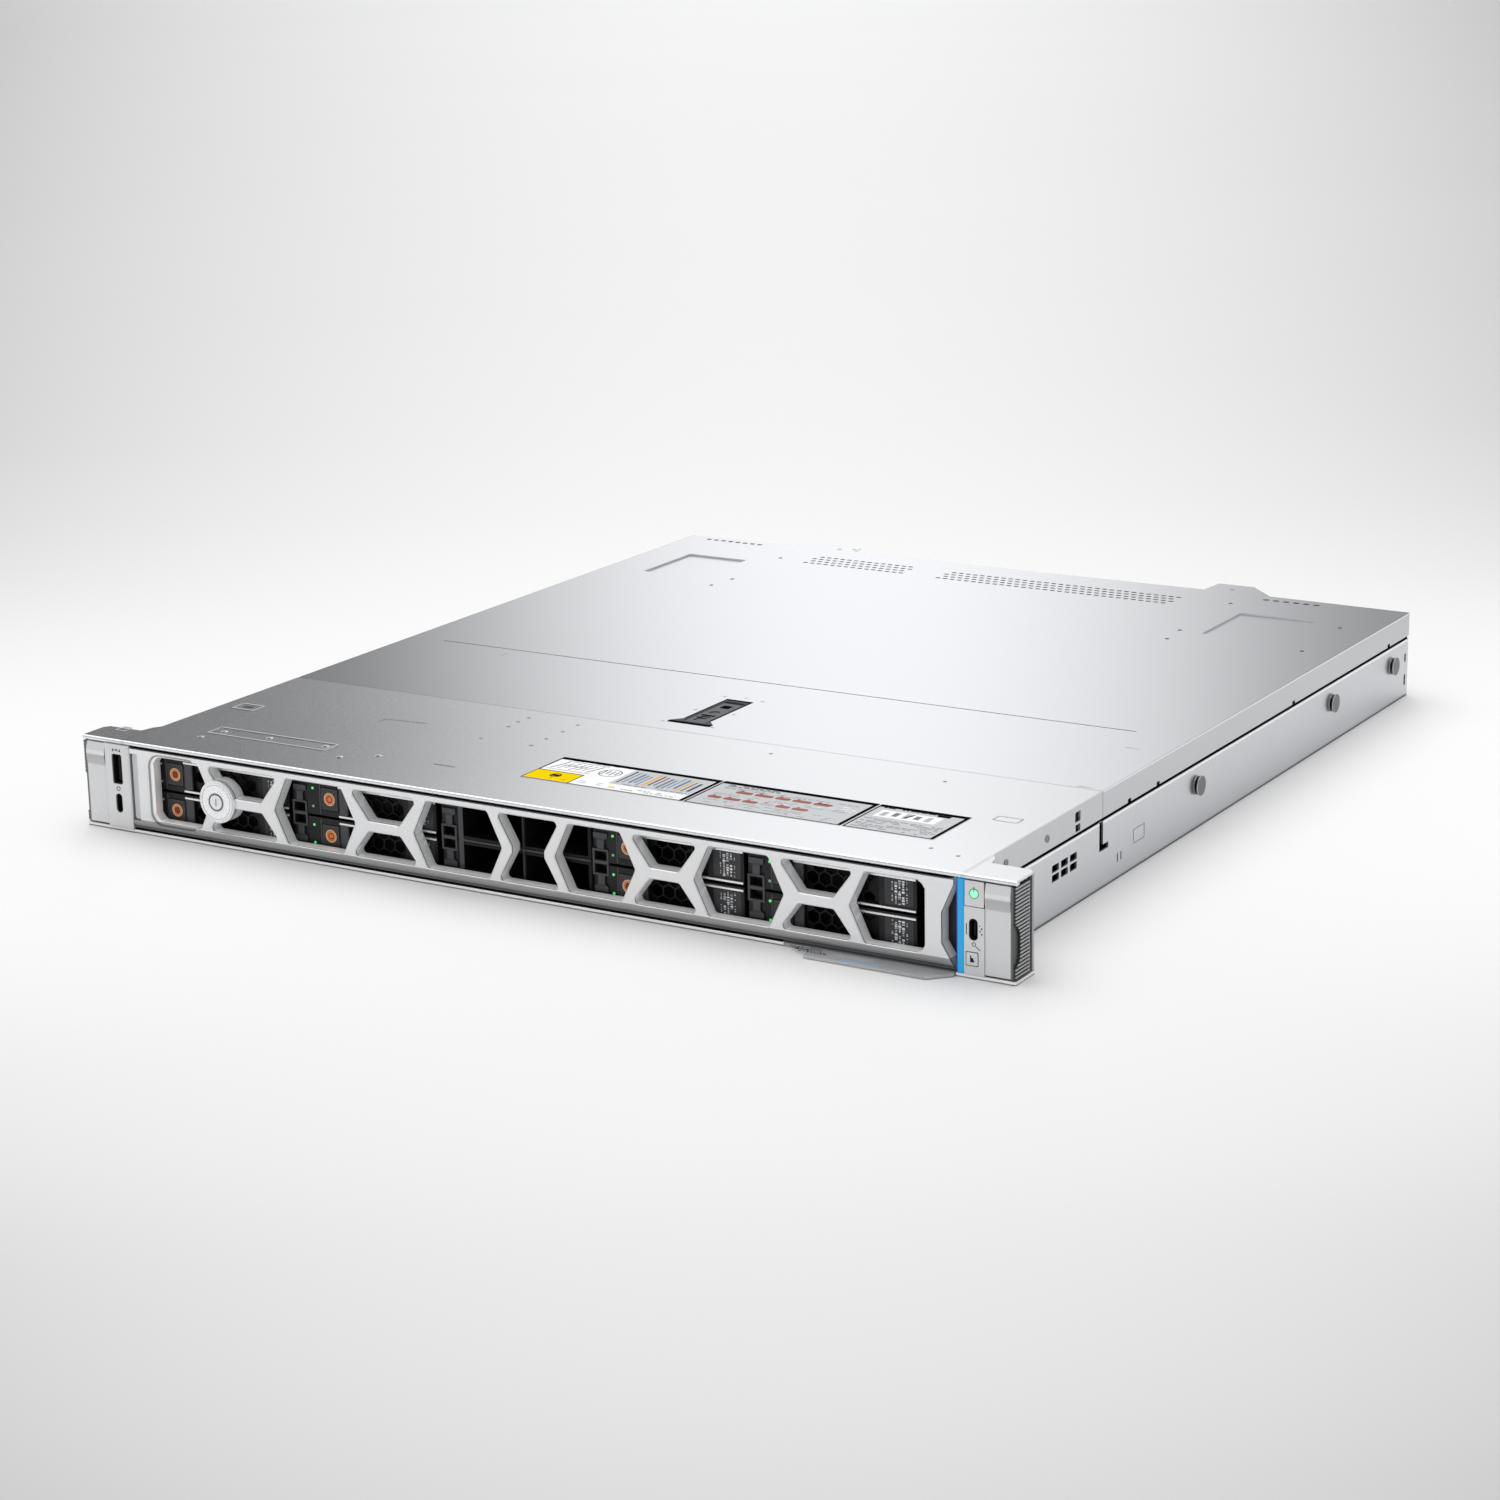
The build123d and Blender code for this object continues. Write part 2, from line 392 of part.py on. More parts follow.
for xd in DIV_X:
    f = box(xd - 4.3, xd + 4.3, -7.6, 6.5, 3.1, 36.7)
    f = cut(f, box(xd - 3.1, xd + 3.1, -8, -3.5, 15.2, 19.3), box(xd - 3.1, xd + 3.1, -8, -3.5, 20.9, 25.0))
    ring = prism_y(rect(xd - 4.1, xd + 4.1, 14.2, 26.0), -8.8, -7.6, 0.3,
                   holes=[wire([(x, -8.8, z) for x, z in rect(xd - 3.1, xd + 3.1, 15.2, 19.3)]), wire([(x, -8.8, z) for x, z in rect(xd - 3.1, xd + 3.1, 20.9, 25.0)])])
    up = prism_y([(xd - 1.8, 26.0), (xd + 1.8, 26.0), (xd + 1.8, 30.0), (xd + 3.6, 31.0), (xd + 3.6, 33.2), (xd - 3.6, 33.2), (xd - 3.6, 31.0), (xd - 1.8, 30.0)], -8.6, -7.6)
    dn = prism_y([(xd - 1.8, 14.2), (xd + 1.8, 14.2), (xd + 1.8, 10.2), (xd + 3.6, 9.2), (xd + 3.6, 7.0), (xd - 3.6, 7.0), (xd - 3.6, 9.2), (xd - 1.8, 10.2)], -8.6, -7.6)
    fronts.append(f.fuse(ring, up, dn))
body = body.fuse(*fronts)
# black end flanges beside the outer columns, out to the side walls
body = body.fuse(box(196.4, 213.6, -8.4, -6.0, 2.7, 37.5), box(-213.6, -203.2, -8.4, -6.0, 2.7, 37.5))
node("drive_cage", body)


# ---------------------------------------------------------------- drive carriers, drives, release buttons and blanks
def carrier(col, row):
    x0, x1, z0 = CX0[col], CX1[col], ROW_Z[row]
    z1, xb, xl = z0 + CARRIER_H, BTN_X[col], LED_X[col]
    b = box(x0, x1, FACE_Y, 3.0, z0, z1)
    zc = (z0 + z1) / 2
    g0, g1 = xb + 10.3, x1 - 17.4
    # open middle of the front, behind which the honeycomb sits; button pocket; label recess
    b = cut(b, box(g0, g1, FACE_Y - 1, 3.5, z0 + 1.4, z1 - 2.3),
            box(xb - 4.9, xb + 4.9, FACE_Y - 1, -2.6, zc - 5.35, zc + 5.35),
            box(xb - 2.0, xb + 2.0, -2.7, -0.5, zc - 2.0, zc + 2.0),
            box(x1 - 15.0, x1 - 1.4, FACE_Y - 1, FACE_Y + 0.5, zc - 5.7, zc + 5.6))
    # light pipes in the left strip
    rl = 0.6 if col == 0 else 0.8
    b = cut(b, rod((xl, FACE_Y - 1, zc + 4.2), (0, 1, 0), rl, 3), rod((xl, FACE_Y - 1, zc - 4.2), (0, 1, 0), rl, 3))
    pipes = [rod((xl, FACE_Y + 0.2, zc + s * 4.2), (0, 1, 0), rl, 1.8) for s in (1, -1)]
    # honeycomb
    holes = []
    r, px = 3.0, 5.9
    for i in range(8):
        for j in (-1, 0, 1):
            cx = g0 + 3.2 + px * i + (px / 2 if j else 0)
            cz = zc + j * 5.1
            if cx + 2.7 > g1 - 0.4:
                continue
            pts = [(px_, min(max(pz_, z0 + 1.9), z1 - 2.8)) for px_, pz_ in hexagon(cx, cz, r, 30)]
            clean = []
            for p in pts:
                if not clean or math.dist(p, clean[-1]) > 0.05:
                    clean.append(p)
            if len(clean) >= 4 and math.dist(clean[0], clean[-1]) > 0.05:
                holes.append(wire([(x, -7.4, z) for x, z in clean]))
    comb = prism_y(rect(g0, g1, z0 + 1.4, z1 - 2.3), -7.4, -6.2, holes=holes)
    rails = [box(x0, x0 + 0.5, 3.0, 103.0, z0 + 1.0, z1 - 1.0), box(x1 - 0.5, x1, 3.0, 103.0, z0 + 1.0, z1 - 1.0)]
    b = b.fuse(comb, *rails)
    # bright trims along both long edges of the lever
    lo, hi = (z0 + 0.3, z1 - 2.15) if row else (z0 + 1.2, z1 - 1.75)
    trims = [box(xb + 5.4, x1 - 0.3, FACE_Y - 0.35, FACE_Y, a, a + 0.9) for a in (lo, hi)]
    return [b] + pipes + trims


carriers, modules = [], []
k = 0
for col in (0, 1, 3, 4):
    for row in (1, 0):
        k += 1
        x0, z0 = CX0[col], ROW_Z[row]
        xb = BTN_X[col]
        carriers += carrier(col, row)
        modules.append(prism_z(rect(x0 + 0.6, CX1[col] - 0.6, 3.2, 101.0), z0 + 0.5, z0 + CARRIER_H - 0.5, 1.0))
        zc = z0 + CARRIER_H / 2
        btn = prism_y(rect(xb - 4.55, xb + 4.55, zc - 5.0, zc + 5.0), FACE_Y - 0.1, -4.2, 0.5)
        btn = cut(btn, rod((xb, FACE_Y - 1, zc), (0, 1, 0), 2.8, 1.3)).fuse(rod((xb, FACE_Y + 0.0, zc), (0, 1, 0), 1.9, 1.0), box(xb - 1.6, xb + 1.6, -4.2, -2.3, zc - 1.6, zc + 1.6))
        node("drive_button_%d" % k, btn)
node("drive_carriers", *carriers)
node("drive_modules", *modules)

blanks = []
for z0 in ROW_Z:
    x0, x1, z1 = CX0[2], CX1[2], z0 + CARRIER_H
    b = box(x0, x1, FACE_Y, 40.0, z0, z1)
    b = cut(b, box(x0 + 3.4, -0.9, FACE_Y - 1, 38.5, z0 + 1.3, z1 - 1.3), box(0.9, x1 - 1.6, FACE_Y - 1, 38.5, z0 + 1.3, z1 - 1.3))
    blanks.append(b)
node("drive_blanks", *blanks)

# backplane with its connectors and air holes
holes = []
for c in (-180, -140, -100, -60, -20, 20, 60, 100, 140, 180):
    for z in (11.5, 29.0):
        pts = rect(c - 12, c + 12, z - 4.5, z + 4.5)
        holes.append(wire([(x, 106.0, zz) for x, zz in pts], 1.5))
bp = prism_y(rect(-205.0, 205.0, 2.8, 39.0), 106.0, 107.6, holes=holes)
conn = [box(CX0[c] + 2.0, CX0[c] + 15.0, 102.0, 106.0, ROW_Z[r_] + 4.5, ROW_Z[r_] + 10.5) for c in (0, 1, 3, 4) for r_ in (0, 1)]
sock = [box(x - 8, x + 8, 107.6, 111.0, 17.5, 23.0) for x in (-100, 0, 100)]
node("drive_backplane", bp, *conn, *sock)

# ---------------------------------------------------------------- fans
frames = []
for fx in FAN_X:
    f = prism_y(rect(fx - 20, fx + 20, FAN_Z - 20, FAN_Z + 20), FAN_Y0, FAN_Y1, 1.5)
    f = cut(f, rod((fx, FAN_Y0 - 1, FAN_Z), (0, 1, 0), 18.8, 40))
    stator = rod((fx, FAN_Y1 - 3.0, FAN_Z), (0, 1, 0), 8.5, 3.0)
    spokes = [box(fx - 19.2, fx + 19.2, FAN_Y1 - 2.6, FAN_Y1 - 0.4, FAN_Z - 1.1, FAN_Z + 1.1), box(fx - 1.1, fx + 1.1, FAN_Y1 - 2.6, FAN_Y1 - 0.4, FAN_Z - 19.2, FAN_Z + 19.2)]
    f = f.fuse(stator, *spokes)
    frames.append(f)
# plates that close the space between the fans, notched for the drive cables
walls = []
for a, b in ((-213.8, -170.0), (-130.0, -70.0), (-30.0, 30.0), (70.0, 130.0), (170.0, 213.8)):
    w = box(a, b, 126.0, 127.0, 1.0, 39.6)
    if b - a > 50:
        m = (a + b) / 2
        w = cut(w, box(m - 9.5, m + 9.5, 125, 128, 7.0, 40.0))
    walls.append(w)
node("fan_housings", *frames, *walls)

for n_, fx in enumerate(FAN_X):
    hub = rod((fx, FAN_Y0 + 2.0, FAN_Z), (0, 1, 0), 8.8, 21.6)
    blades = []
    for q in range(7):
        blade = Solid.make_box(1.1, 22.0, 10.4, Plane(origin=(-0.55, -11.0, 7.8)))
        blade = blade.rotate(Axis.Z, 34).rotate(Axis.Y, 360 * q / 7).moved(Location((fx, FAN_Y0 + 12.8, FAN_Z)))
        blades.append(blade)
    rotor = hub.fuse(*blades)
    rotor = inter(rotor, rod((fx, FAN_Y0 + 1.0, FAN_Z), (0, 1, 0), 18.2, 23.4))
    node("fan_rotor_%d" % (n_ + 1), rotor)

# ---------------------------------------------------------------- system board, processors, coolers, memory
board_pts = [(-210, 146), (210, 146), (210, 290), (134.5, 290), (134.5, 474), (-134.5, 474), (-134.5, 290), (-210, 290)]
board = prism_z(board_pts, 4.0, 5.6, 2.0)
CPU_X, CPU_Y = (-88.0, 88.0), 218.0
cpu_sockets = [box(x - 40, x + 40, CPU_Y - 30, CPU_Y + 30, 5.6, 8.6) for x in CPU_X]
DIMM_X = [s * (142 + 12 * i) for s in (-1, 1) for i in range(5)] + [-30, -18, -6, 6, 18, 30]
dimm_y = {x: (157.0 if abs(x) < 40 else 148.0) for x in DIMM_X}
dimm_sockets = [cut(box(x - 3.2, x + 3.2, dimm_y[x], dimm_y[x] + 141, 5.6, 10.6), box(x - 0.8, x + 0.8, dimm_y[x] + 2, dimm_y[x] + 139, 7.0, 11)) for x in DIMM_X]
caps = [rod((x, y, 5.6), (0, 0, 1), 4.0, 9.0) for x, y in ((-124, 160), (-112, 160), (112, 160), (124, 160), (-60, 312), (-48, 312), (-36, 312), (90, 312), (102, 312))]
chips = [box(-62, -22, 330, 370, 5.6, 8.0), box(60, 84, 400, 424, 5.6, 7.4), box(-110, -92, 340, 358, 5.6, 7.2), box(-70, -50, 420, 432, 5.6, 9.5)]
cable_conn = [box(x - 9, x + 9, 148.0, 155.0, 5.6, 12.6) for x in (-100, 0, 100)]
battery = rod((100, 350, 5.6), (0, 0, 1), 10.0, 5.0)
node("system_board", board, *cpu_sockets, *dimm_sockets, *caps, *chips, *cable_conn, battery)
node("memory_modules", *[box(x - 0.65, x + 0.65, dimm_y[x] + 3.5, dimm_y[x] + 137.5, 7.0, 35.0) for x in DIMM_X])
node("processors", *[box(x - 35, x + 35, CPU_Y - 24, CPU_Y + 24, 8.6, 11.6) for x in CPU_X])


def heatsink(cx):
    w, n = 78.0, 26
    p = w / n
    pts = [(cx - w / 2, 11.6), (cx + w / 2, 11.6)]
    for i in range(n):
        a = cx + w / 2 - i * p
        pts += [(a, 34.5), (a - 1.0, 34.5), (a - 1.0, 16.0), (a - p, 16.0)]
    pts = pts[:-1] + [(cx - w / 2, 16.0)]
    s = prism_y(pts, CPU_Y - 50, CPU_Y + 50)
    return cut(s, *[box(cx + a - 3.5, cx + a + 3.5, CPU_Y + b - 3.5, CPU_Y + b + 3.5, 16.0, 36.0) for a in (-33, 33) for b in (-44, 44)])


node("cpu_heatsinks", *[heatsink(x) for x in CPU_X])

shroud = prism_y([(-208, 8.0), (-207, 8.0), (-207, 37.4), (207, 37.4), (207, 8.0), (208, 8.0), (208, 38.4), (-208, 38.4)], 146.5, 288.0)
shroud = cut(shroud, box(-20, 20, 200, 230, 37, 39))
node("air_shroud", shroud)

# drive cables: from the backplane through the gaps between the fans to the board
cables = []
for xa in (-104.0, -96.0, -4.0, 4.0, 96.0, 104.0):
    pts = [(xa, 111.0, 20.2), (xa, 122.0, 20.2), (xa, 137.0, 9.4), (xa, 148.0, 9.4)]
    vec = [Vector(*p) for p in pts]
    radii = []
    for i in range(1, len(vec) - 1):
        a_, b_ = vec[i] - vec[i - 1], vec[i + 1] - vec[i]
        turn = math.radians(a_.get_angle(b_))
        radii.append(0.45 * min(a_.length, b_.length) / math.tan(turn / 2))
    path = FilletPolyline(*pts, radius=radii)
    w = Wire(path.edges())
    c = Solid.sweep(Face(Wire.make_circle(1.5, Plane(origin=pts[0], z_dir=vec[1] - vec[0]))), w)
    print("cable", xa, "radii", [round(r_, 1) for r_ in radii], "length", round(w.length, 1), "volume ratio", round(c.volume / (math.pi * 1.5 ** 2 * w.length), 4))
    cables.append(c)
node("drive_cables", *cables)

# ---------------------------------------------------------------- rear: riser, network card, ports, slot covers, wall
riser = box(8.0, 9.6, 330.0, 440.0, 6.6, 38.0)
riser_slot = [box(9.6, 17.0, 345.0, 430.0, 26.0, 33.0), box(4.0, 13.6, 338.0, 432.0, 5.6, 6.6)]
node("riser_card", riser, *riser_slot)
card = box(17.2, 80.0, 344.0, 471.0, 28.7, 30.3)
cage_l = [box(28.0, 42.0, 430.0, 478.5, 30.3, 38.5), box(46.0, 60.0, 430.0, 478.5, 30.3, 38.5)]
cage_l = [cut(c, box(c.bounding_box().min.X + 1, c.bounding_box().max.X - 1, 440, 480, 31.3, 37.5)) for c in cage_l]
bracket = cut(box(18.5, 98.0, 478.5, 479.4, 22.0, 40.4), box(29.0, 41.0, 478, 480, 31.3, 37.5), box(47.0, 59.0, 478, 480, 31.3, 37.5))
chip = box(34.0, 62.0, 380.0, 408.0, 30.3, 37.0)
node("network_card", card, *cage_l, bracket, chip)
slot_cover = cut(box(-98.0, -18.5, 478.5, 479.4, 22.0, 40.4), *[prism_y(rect(-92 + 9 * i, -86 + 9 * i, 26.5, 36.0), 478, 480, 1.5) for i in range(8)])


def jack(cx, w, h, z0, depth, t=1.0, proud=0.6):
    o = box(cx - w / 2, cx + w / 2, Y_REAR - depth, Y_REAR + proud, z0, z0 + h)
    return cut(o, box(cx - w / 2 + t, cx + w / 2 - t, Y_REAR - depth + 2.0, Y_REAR + 2, z0 + t, z0 + h - t))


RJ_X = (-104.0, -86.0)
ports = [jack(x, 16.0, 13.4, 6.4, 15.0, 1.6) for x in RJ_X]
usb = [jack(-62.0, 14.4, 6.8, 6.4, 14.0, 0.6), jack(-62.0, 14.4, 6.8, 13.6, 14.0, 0.6)]
tong = [box(-67.0, -57.0, Y_REAR - 12.0, Y_REAR - 1.0, 8.0, 9.6), box(-67.0, -57.0, Y_REAR - 12.0, Y_REAR - 1.0, 15.2, 16.8)]
vga = prism_y([(-44.0, 17.4), (-42.6, 7.4), (-24.4, 7.4), (-23.0, 17.4)], 470.0, Y_REAR + 4.5, 1.2)
vga = cut(vga, prism_y([(-43.0, 16.7), (-41.8, 8.1), (-25.2, 8.1), (-24.0, 16.7)], 474.0, Y_REAR + 6, 0.9))
vga_core = prism_y([(-42.5, 16.2), (-41.4, 8.6), (-25.6, 8.6), (-24.5, 16.2)], 474.0, 479.0, 0.8)
node("rear_io_ports", *ports, *usb, *tong, vga, vga_core)

bay0, bay1 = PSU_X0 - 0.7, PSU_X1 + 0.7
rw_pts = [(-bay0, 1.0), (bay0, 1.0), (bay0, 41.2), (bay1, 41.2), (bay1, 1.0), (214.2, 1.0), (214.2, 42.2), (-214.2, 42.2), (-214.2, 1.0), (-bay1, 1.0), (-bay1, 41.2), (-bay0, 41.2)]
rh = [wire([(x, 480.0, z) for x, z in rect(x_ - 8.2, x_ + 8.2, 6.2, 20.0)], 0) for x_ in RJ_X]
rh.append(wire([(x, 480.0, z) for x, z in rect(-69.4, -54.6, 6.2, 20.6)], 0))
rh.append(wire([(x, 480.0, z) for x, z in rect(-44.4, -22.6, 7.0, 17.8)], 1.0))
rh.append(wire([(x, 480.0, z) for x, z in rect(20.0, 96.0, 23.4, 39.4)], 0))
rh.append(wire([(x, 480.0, z) for x, z in rect(-96.5, -20.0, 23.4, 39.4)], 0))
for cx in range(26, 126, 5):
    for j in range(3):
        rh.append(wire([(x, 480.0, z) for x, z in hexagon(cx + (2.5 if j % 2 else 0), 8.0 + 4.4 * j, 1.9, 30)]))
for cx in (-132, -127, -122, 104, 109, 114, 119, 124, 129, -117, -112, -107, 0, 5, 10, -5, -10, 15, -15):
    for j in range(3):
        if abs(cx) < 20 or abs(cx) > 100:
            rh.append(wire([(x, 480.0, z) for x, z in hexagon(cx, 25.6 + 4.6 * j, 1.9, 30)]))
rwall = prism_y(rw_pts, 480.0, Y_REAR, holes=rh)
bay_walls = [box(s * (PSU_X0 - 1.5), s * (PSU_X0 - 0.7), 296.0, 480.0, 1.0, 41.2) for s in (-1, 1)]
wall = rwall.fuse(*bay_walls)
# the sheet in five fields round the two network sockets: left, right, below, above, and the post between them
fields = [inter(wall, box(x0, x1, 290.0, 490.0, z0, z1)) for x0, x1, z0, z1 in
          ((-230, -112.2, 0, 50), (-77.8, 230, 0, 50), (-112.2, -77.8, 0, 6.2), (-112.2, -77.8, 20.0, 50), (-95.8, -94.2, 6.2, 20.0))]
print("rear wall", round(wall.volume, 2), "in fields", round(sum(f.volume for f in fields), 2), [len(f.solids()) for f in fields])
node("rear_wall", *fields, slot_cover)


# ---------------------------------------------------------------- power supplies
def psu():
    """Right-hand supply; the case is a closed sheet box with an inlet opening, a fan opening and a loop handle."""
    zt = 40.8
    o = box(PSU_X0, PSU_X1, PSU_Y0, Y_REAR + 0.5, 1.3, zt)
    o = cut(o, box(PSU_X0 + 1, PSU_X1 - 1, PSU_Y0 + 1, Y_REAR - 1.0, 2.3, zt - 1))
    # inlet opening and fan opening in the rear plate
    o = cut(o, prism_y(rect(141.5, 169.3, 4.6, 25.4), Y_REAR - 3, Y_REAR + 2, 1.0), rod((190.5, Y_REAR - 3, 21.0), (0, 1, 0), 17.6, 6))
    bars = [box(172.0, 209.0, Y_REAR - 0.6, Y_REAR + 0.5, 21.0 + dz - 0.5, 21.0 + dz + 0.5) for dz in (-12, -7, -2, 3, 8, 13)]
    bars += [box(190.5 + dx - 0.5, 190.5 + dx + 0.5, Y_REAR - 0.6, Y_REAR + 0.5, 2.6, 39.4) for dx in (-10, 0, 10)]
    guard = inter(bars[0].fuse(*bars[1:]), rod((190.5, Y_REAR - 1, 21.0), (0, 1, 0), 18.2, 3))
    o = o.fuse(guard)
    # loop handle above the inlet, standing out to the rear
    h = prism_z([(143.0, Y_REAR + 0.5), (146.0, Y_REAR + 0.5), (146.0, Y_REAR + 17.5), (166.0, Y_REAR + 17.5), (166.0, Y_REAR + 0.5), (169.0, Y_REAR + 0.5), (169.0, Y_REAR + 21.0), (143.0, Y_REAR + 21.0)], 30.0, 36.5)
    h = h.fillet(1.2, [e for e in h.edges() if abs(e.center().Y - (Y_REAR + 21.0)) < 0.01])
    o = o.fuse(h)
    # two lugs and a pin that carry the latch tab
    lugs = [prism_z([(171.3, Y_REAR), (173.5, Y_REAR), (173.5, Y_REAR + 3.2), (171.3, Y_REAR + 3.2)], a, b) for a, b in ((29.3, 30.1), (36.4, 37.2))]
    o = o.fuse(*lugs, rod((172.4, Y_REAR + 2.2, 29.5), (0, 0, 1), 0.55, 7.5))
    # edge connector at the inner end
    edge = box(155.0, 196.0, PSU_Y0 - 6.0, PSU_Y0, 8.0, 9.6)
    return o, edge


def psu_inlet():
    o = prism_y(rect(141.7, 169.1, 4.8, 25.2), Y_REAR - 19.0, Y_REAR + 0.2, 0.9)
    o = o.fuse(prism_y(rect(140.3, 170.5, 3.6, 26.4), Y_REAR + 0.5, Y_REAR + 1.5, 1.2), prism_y(rect(141.7, 169.1, 4.8, 25.2), Y_REAR, Y_REAR + 0.6, 0.9))
    cav = prism_y([(143.2, 7.4), (167.6, 7.4), (167.6, 18.6), (163.4, 23.2), (147.4, 23.2), (143.2, 18.6)], Y_REAR - 16.0, Y_REAR + 3, 0.8)
    o = o.cut(cav)
    pins = [box(147.4, 149.4, Y_REAR - 16.0, Y_REAR - 3.0, 11.2, 15.2), box(161.4, 163.4, Y_REAR - 16.0, Y_REAR - 3.0, 11.2, 15.2), box(154.4, 156.4, Y_REAR - 16.0, Y_REAR - 2.0, 16.0, 20.0)]
    return [o] + pins


def psu_latch():
    # spring tab between the handle and the outer side, pivoting on a vertical line at its root
    t = prism_z([(171.6, Y_REAR + 2.2), (173.2, Y_REAR + 2.2), (173.2, Y_REAR + 12.0), (175.4, Y_REAR + 16.0), (175.4, Y_REAR + 18.0), (173.6, Y_REAR + 18.0), (171.6, Y_REAR + 13.0)], 30.5, 36.0)
    return cut(t.fuse(rod((172.4, Y_REAR + 2.2, 30.5), (0, 0, 1), 1.3, 5.5)), rod((172.4, Y_REAR + 2.2, 30.0), (0, 0, 1), 0.62, 7.0))


def psu_rotor():
    hub = rod((190.5, Y_REAR - 20.0, 21.0), (0, 1, 0), 8.0, 17.0)
    blades = []
    for q in range(7):
        blade = Solid.make_box(1.1, 15.0, 9.6, Plane(origin=(-0.55, -7.5, 7.0)))
        blades.append(blade.rotate(Axis.Z, 36).rotate(Axis.Y, 360 * q / 7).moved(Location((190.5, Y_REAR - 11.5, 21.0))))
    return inter(hub.fuse(*blades), rod((190.5, Y_REAR - 20.5, 21.0), (0, 1, 0), 16.6, 18.0))


case, edge = psu()
node("right_psu_case", case, edge)
node("left_psu_case", mirror_x(case), mirror_x(edge))
inl = psu_inlet()
node("right_psu_inlet", *inl)
node("left_psu_inlet", *[mirror_x(i) for i in inl])
lt = psu_latch()
node("right_psu_latch", lt)
node("left_psu_latch", mirror_x(lt))
pr = psu_rotor()
node("right_psu_rotor", pr)
node("left_psu_rotor", mirror_x(pr))

# ---------------------------------------------------------------- removable top cover
X_C = XC
cover_pts = [(-X_C, Y_SPLIT), (X_C, Y_SPLIT), (X_C, 482.0), (139.0, 484.0), (123.0, 500.5), (102.8, 500.5), (101.4, 484.0), (8.0, 483.0), (7.0, 481.6), (5.4, 481.6), (4.4, 483.0), (-112.0, 483.0), (-112.6, 493.6), (-144.3, 495.6), (-152.0, 484.0), (-X_C, 482.0)]
ch = []
zb = H - T


def add_hole(pts, r=0.0):
    ch.append(wire([(x, y, zb) for x, y in pts], r))


for row in range(4):
    y = 446.5 + 5.2 * row
    x = -124.0 + (2.1 if row % 2 else 0)
    while x < -62.0:
        add_hole(rect(x, x + 3.0, y, y + 1.9), 0.85)
        x += 4.3
for row in range(4):
    y = 445.0 + 5.0 * row
    x = -40.0 + (2.1 if row % 2 else 0)
    while x < 96.5:
        add_hole(rect(x, x + 3.0, y, y + 1.9), 0.85)
        x += 4.3
for i in range(8):
    add_hole(rect(-204.0 + 4.8 * i, -201.0 + 4.8 * i, 474.5, 477.0), 0.9)
for i in range(6):
    add_hole(rect(138.5 + 5.6 * i, 141.9 + 5.6 * i, 474.5, 477.0), 0.9)
for x, y in ((198.7, 381.5), (197.5, 434.8), (127.2, 394.7), (129.0, 375.0), (126.7, 460.5), (115.1, 489.6), (-140.1, 376.0), (-137.6, 393.8), (-140.6, 451.0), (-122.0, 485.3), (-113.9, 488.0)):
    ch.append(Wire.make_circle(1.2, Plane(origin=(x, y, zb))))
LATCH = [(-11.8, 127.0), (11.8, 127.0), (11.8, 129.4), (7.1, 134.6), (7.1, 173.0), (-7.1, 173.0), (-7.1, 134.6), (-11.8, 129.4)]
add_hole(LATCH, 0.8)
cover = prism_z(cover_pts, zb, H, holes=ch)
# skirts
cskirt = box(XC - T, XC, Y_SPLIT, 481.6, Z_SKIRT, zb)
notches = [box(XC - 2, XC + 1, y - 1.6, y + 1.6, Z_SKIRT - 1, Z_SKIRT + 1.6) for y in (141.0, 171.0, 327.0, 453.0)]
cskirt = cut(cskirt, *notches)
pins = [rod((XC - 3.3, yp, 35.2), (1, 0, 0), 1.1, 2.3) for yp in PIN_Y]
cskirt = cskirt.fuse(*pins)
cover = cover.fuse(cskirt, mirror_x(cskirt))
# recessed finger pads
pads = [(-192.0, -155.0, 389.0, 438.0), (139.7, 181.6, 393.0, 443.0)]
floors = [box(a - 1.0, b + 1.0, c - 1.0, d + 1.0, 41.8, zb) for a, b, c, d in pads]
cover = cover.fuse(*floors)
tools = [prism_z(rect(a, b, c, d), 42.6, H + 1, 1.2) for a, b, c, d in pads]
tools.append(box(-197.0, 189.0, 207.5, 208.4, H - 0.4, H + 1))
tools.append(box(196.0, 203.0, 181.0, 182.0, H - 0.4, H + 1))
tools.append(box(204.0, 211.0, 115.4, 116.4, H - 0.5, H + 1))
for x, y in ((-13.5, 126.0), (13.5, 126.0), (-10.5, 150.0), (10.5, 150.0), (-10.5, 176.5), (10.5, 176.5), (0.0, 179.0), (-152.0, 195.7), (-152.0, 198.4)):
    tools.append(rod((x, y, H - 0.45), (0, 0, 1), 0.9, 1))
cover = cut(cover, *tools)
node("top_cover", cover)

# latch: base pan let into the cover, handle hinged at its rear end
lbase = prism_z(LATCH, 40.7, H, 0.8)
HW = 5.2
lbase = cut(lbase, box(-HW - 0.4, HW + 0.4, 131.0, 169.4, 41.5, H + 1), rod((-HW - 1.2, 166.4, 42.6), (1, 0, 0), 0.62, 2 * HW + 2.4))
node("latch_base", lbase)
lh = prism_x([(131.6, 42.1), (166.4, 42.1), (166.4, 43.3), (131.6, 43.3)], -HW, HW).fuse(rod((-HW, 166.4, 42.6), (1, 0, 0), 0.8, 2 * HW)).fuse(rod((-HW - 1.0, 166.4, 42.6), (1, 0, 0), 0.55, 2 * HW + 2.0))
lh = cut(lh, box(-2.6, 2.6, 134.5, 140.0, 42.7, 44), rod((0, 150.0, 42.75), (0, 0, 1), 2.6, 1.0))
node("latch_handle", lh)

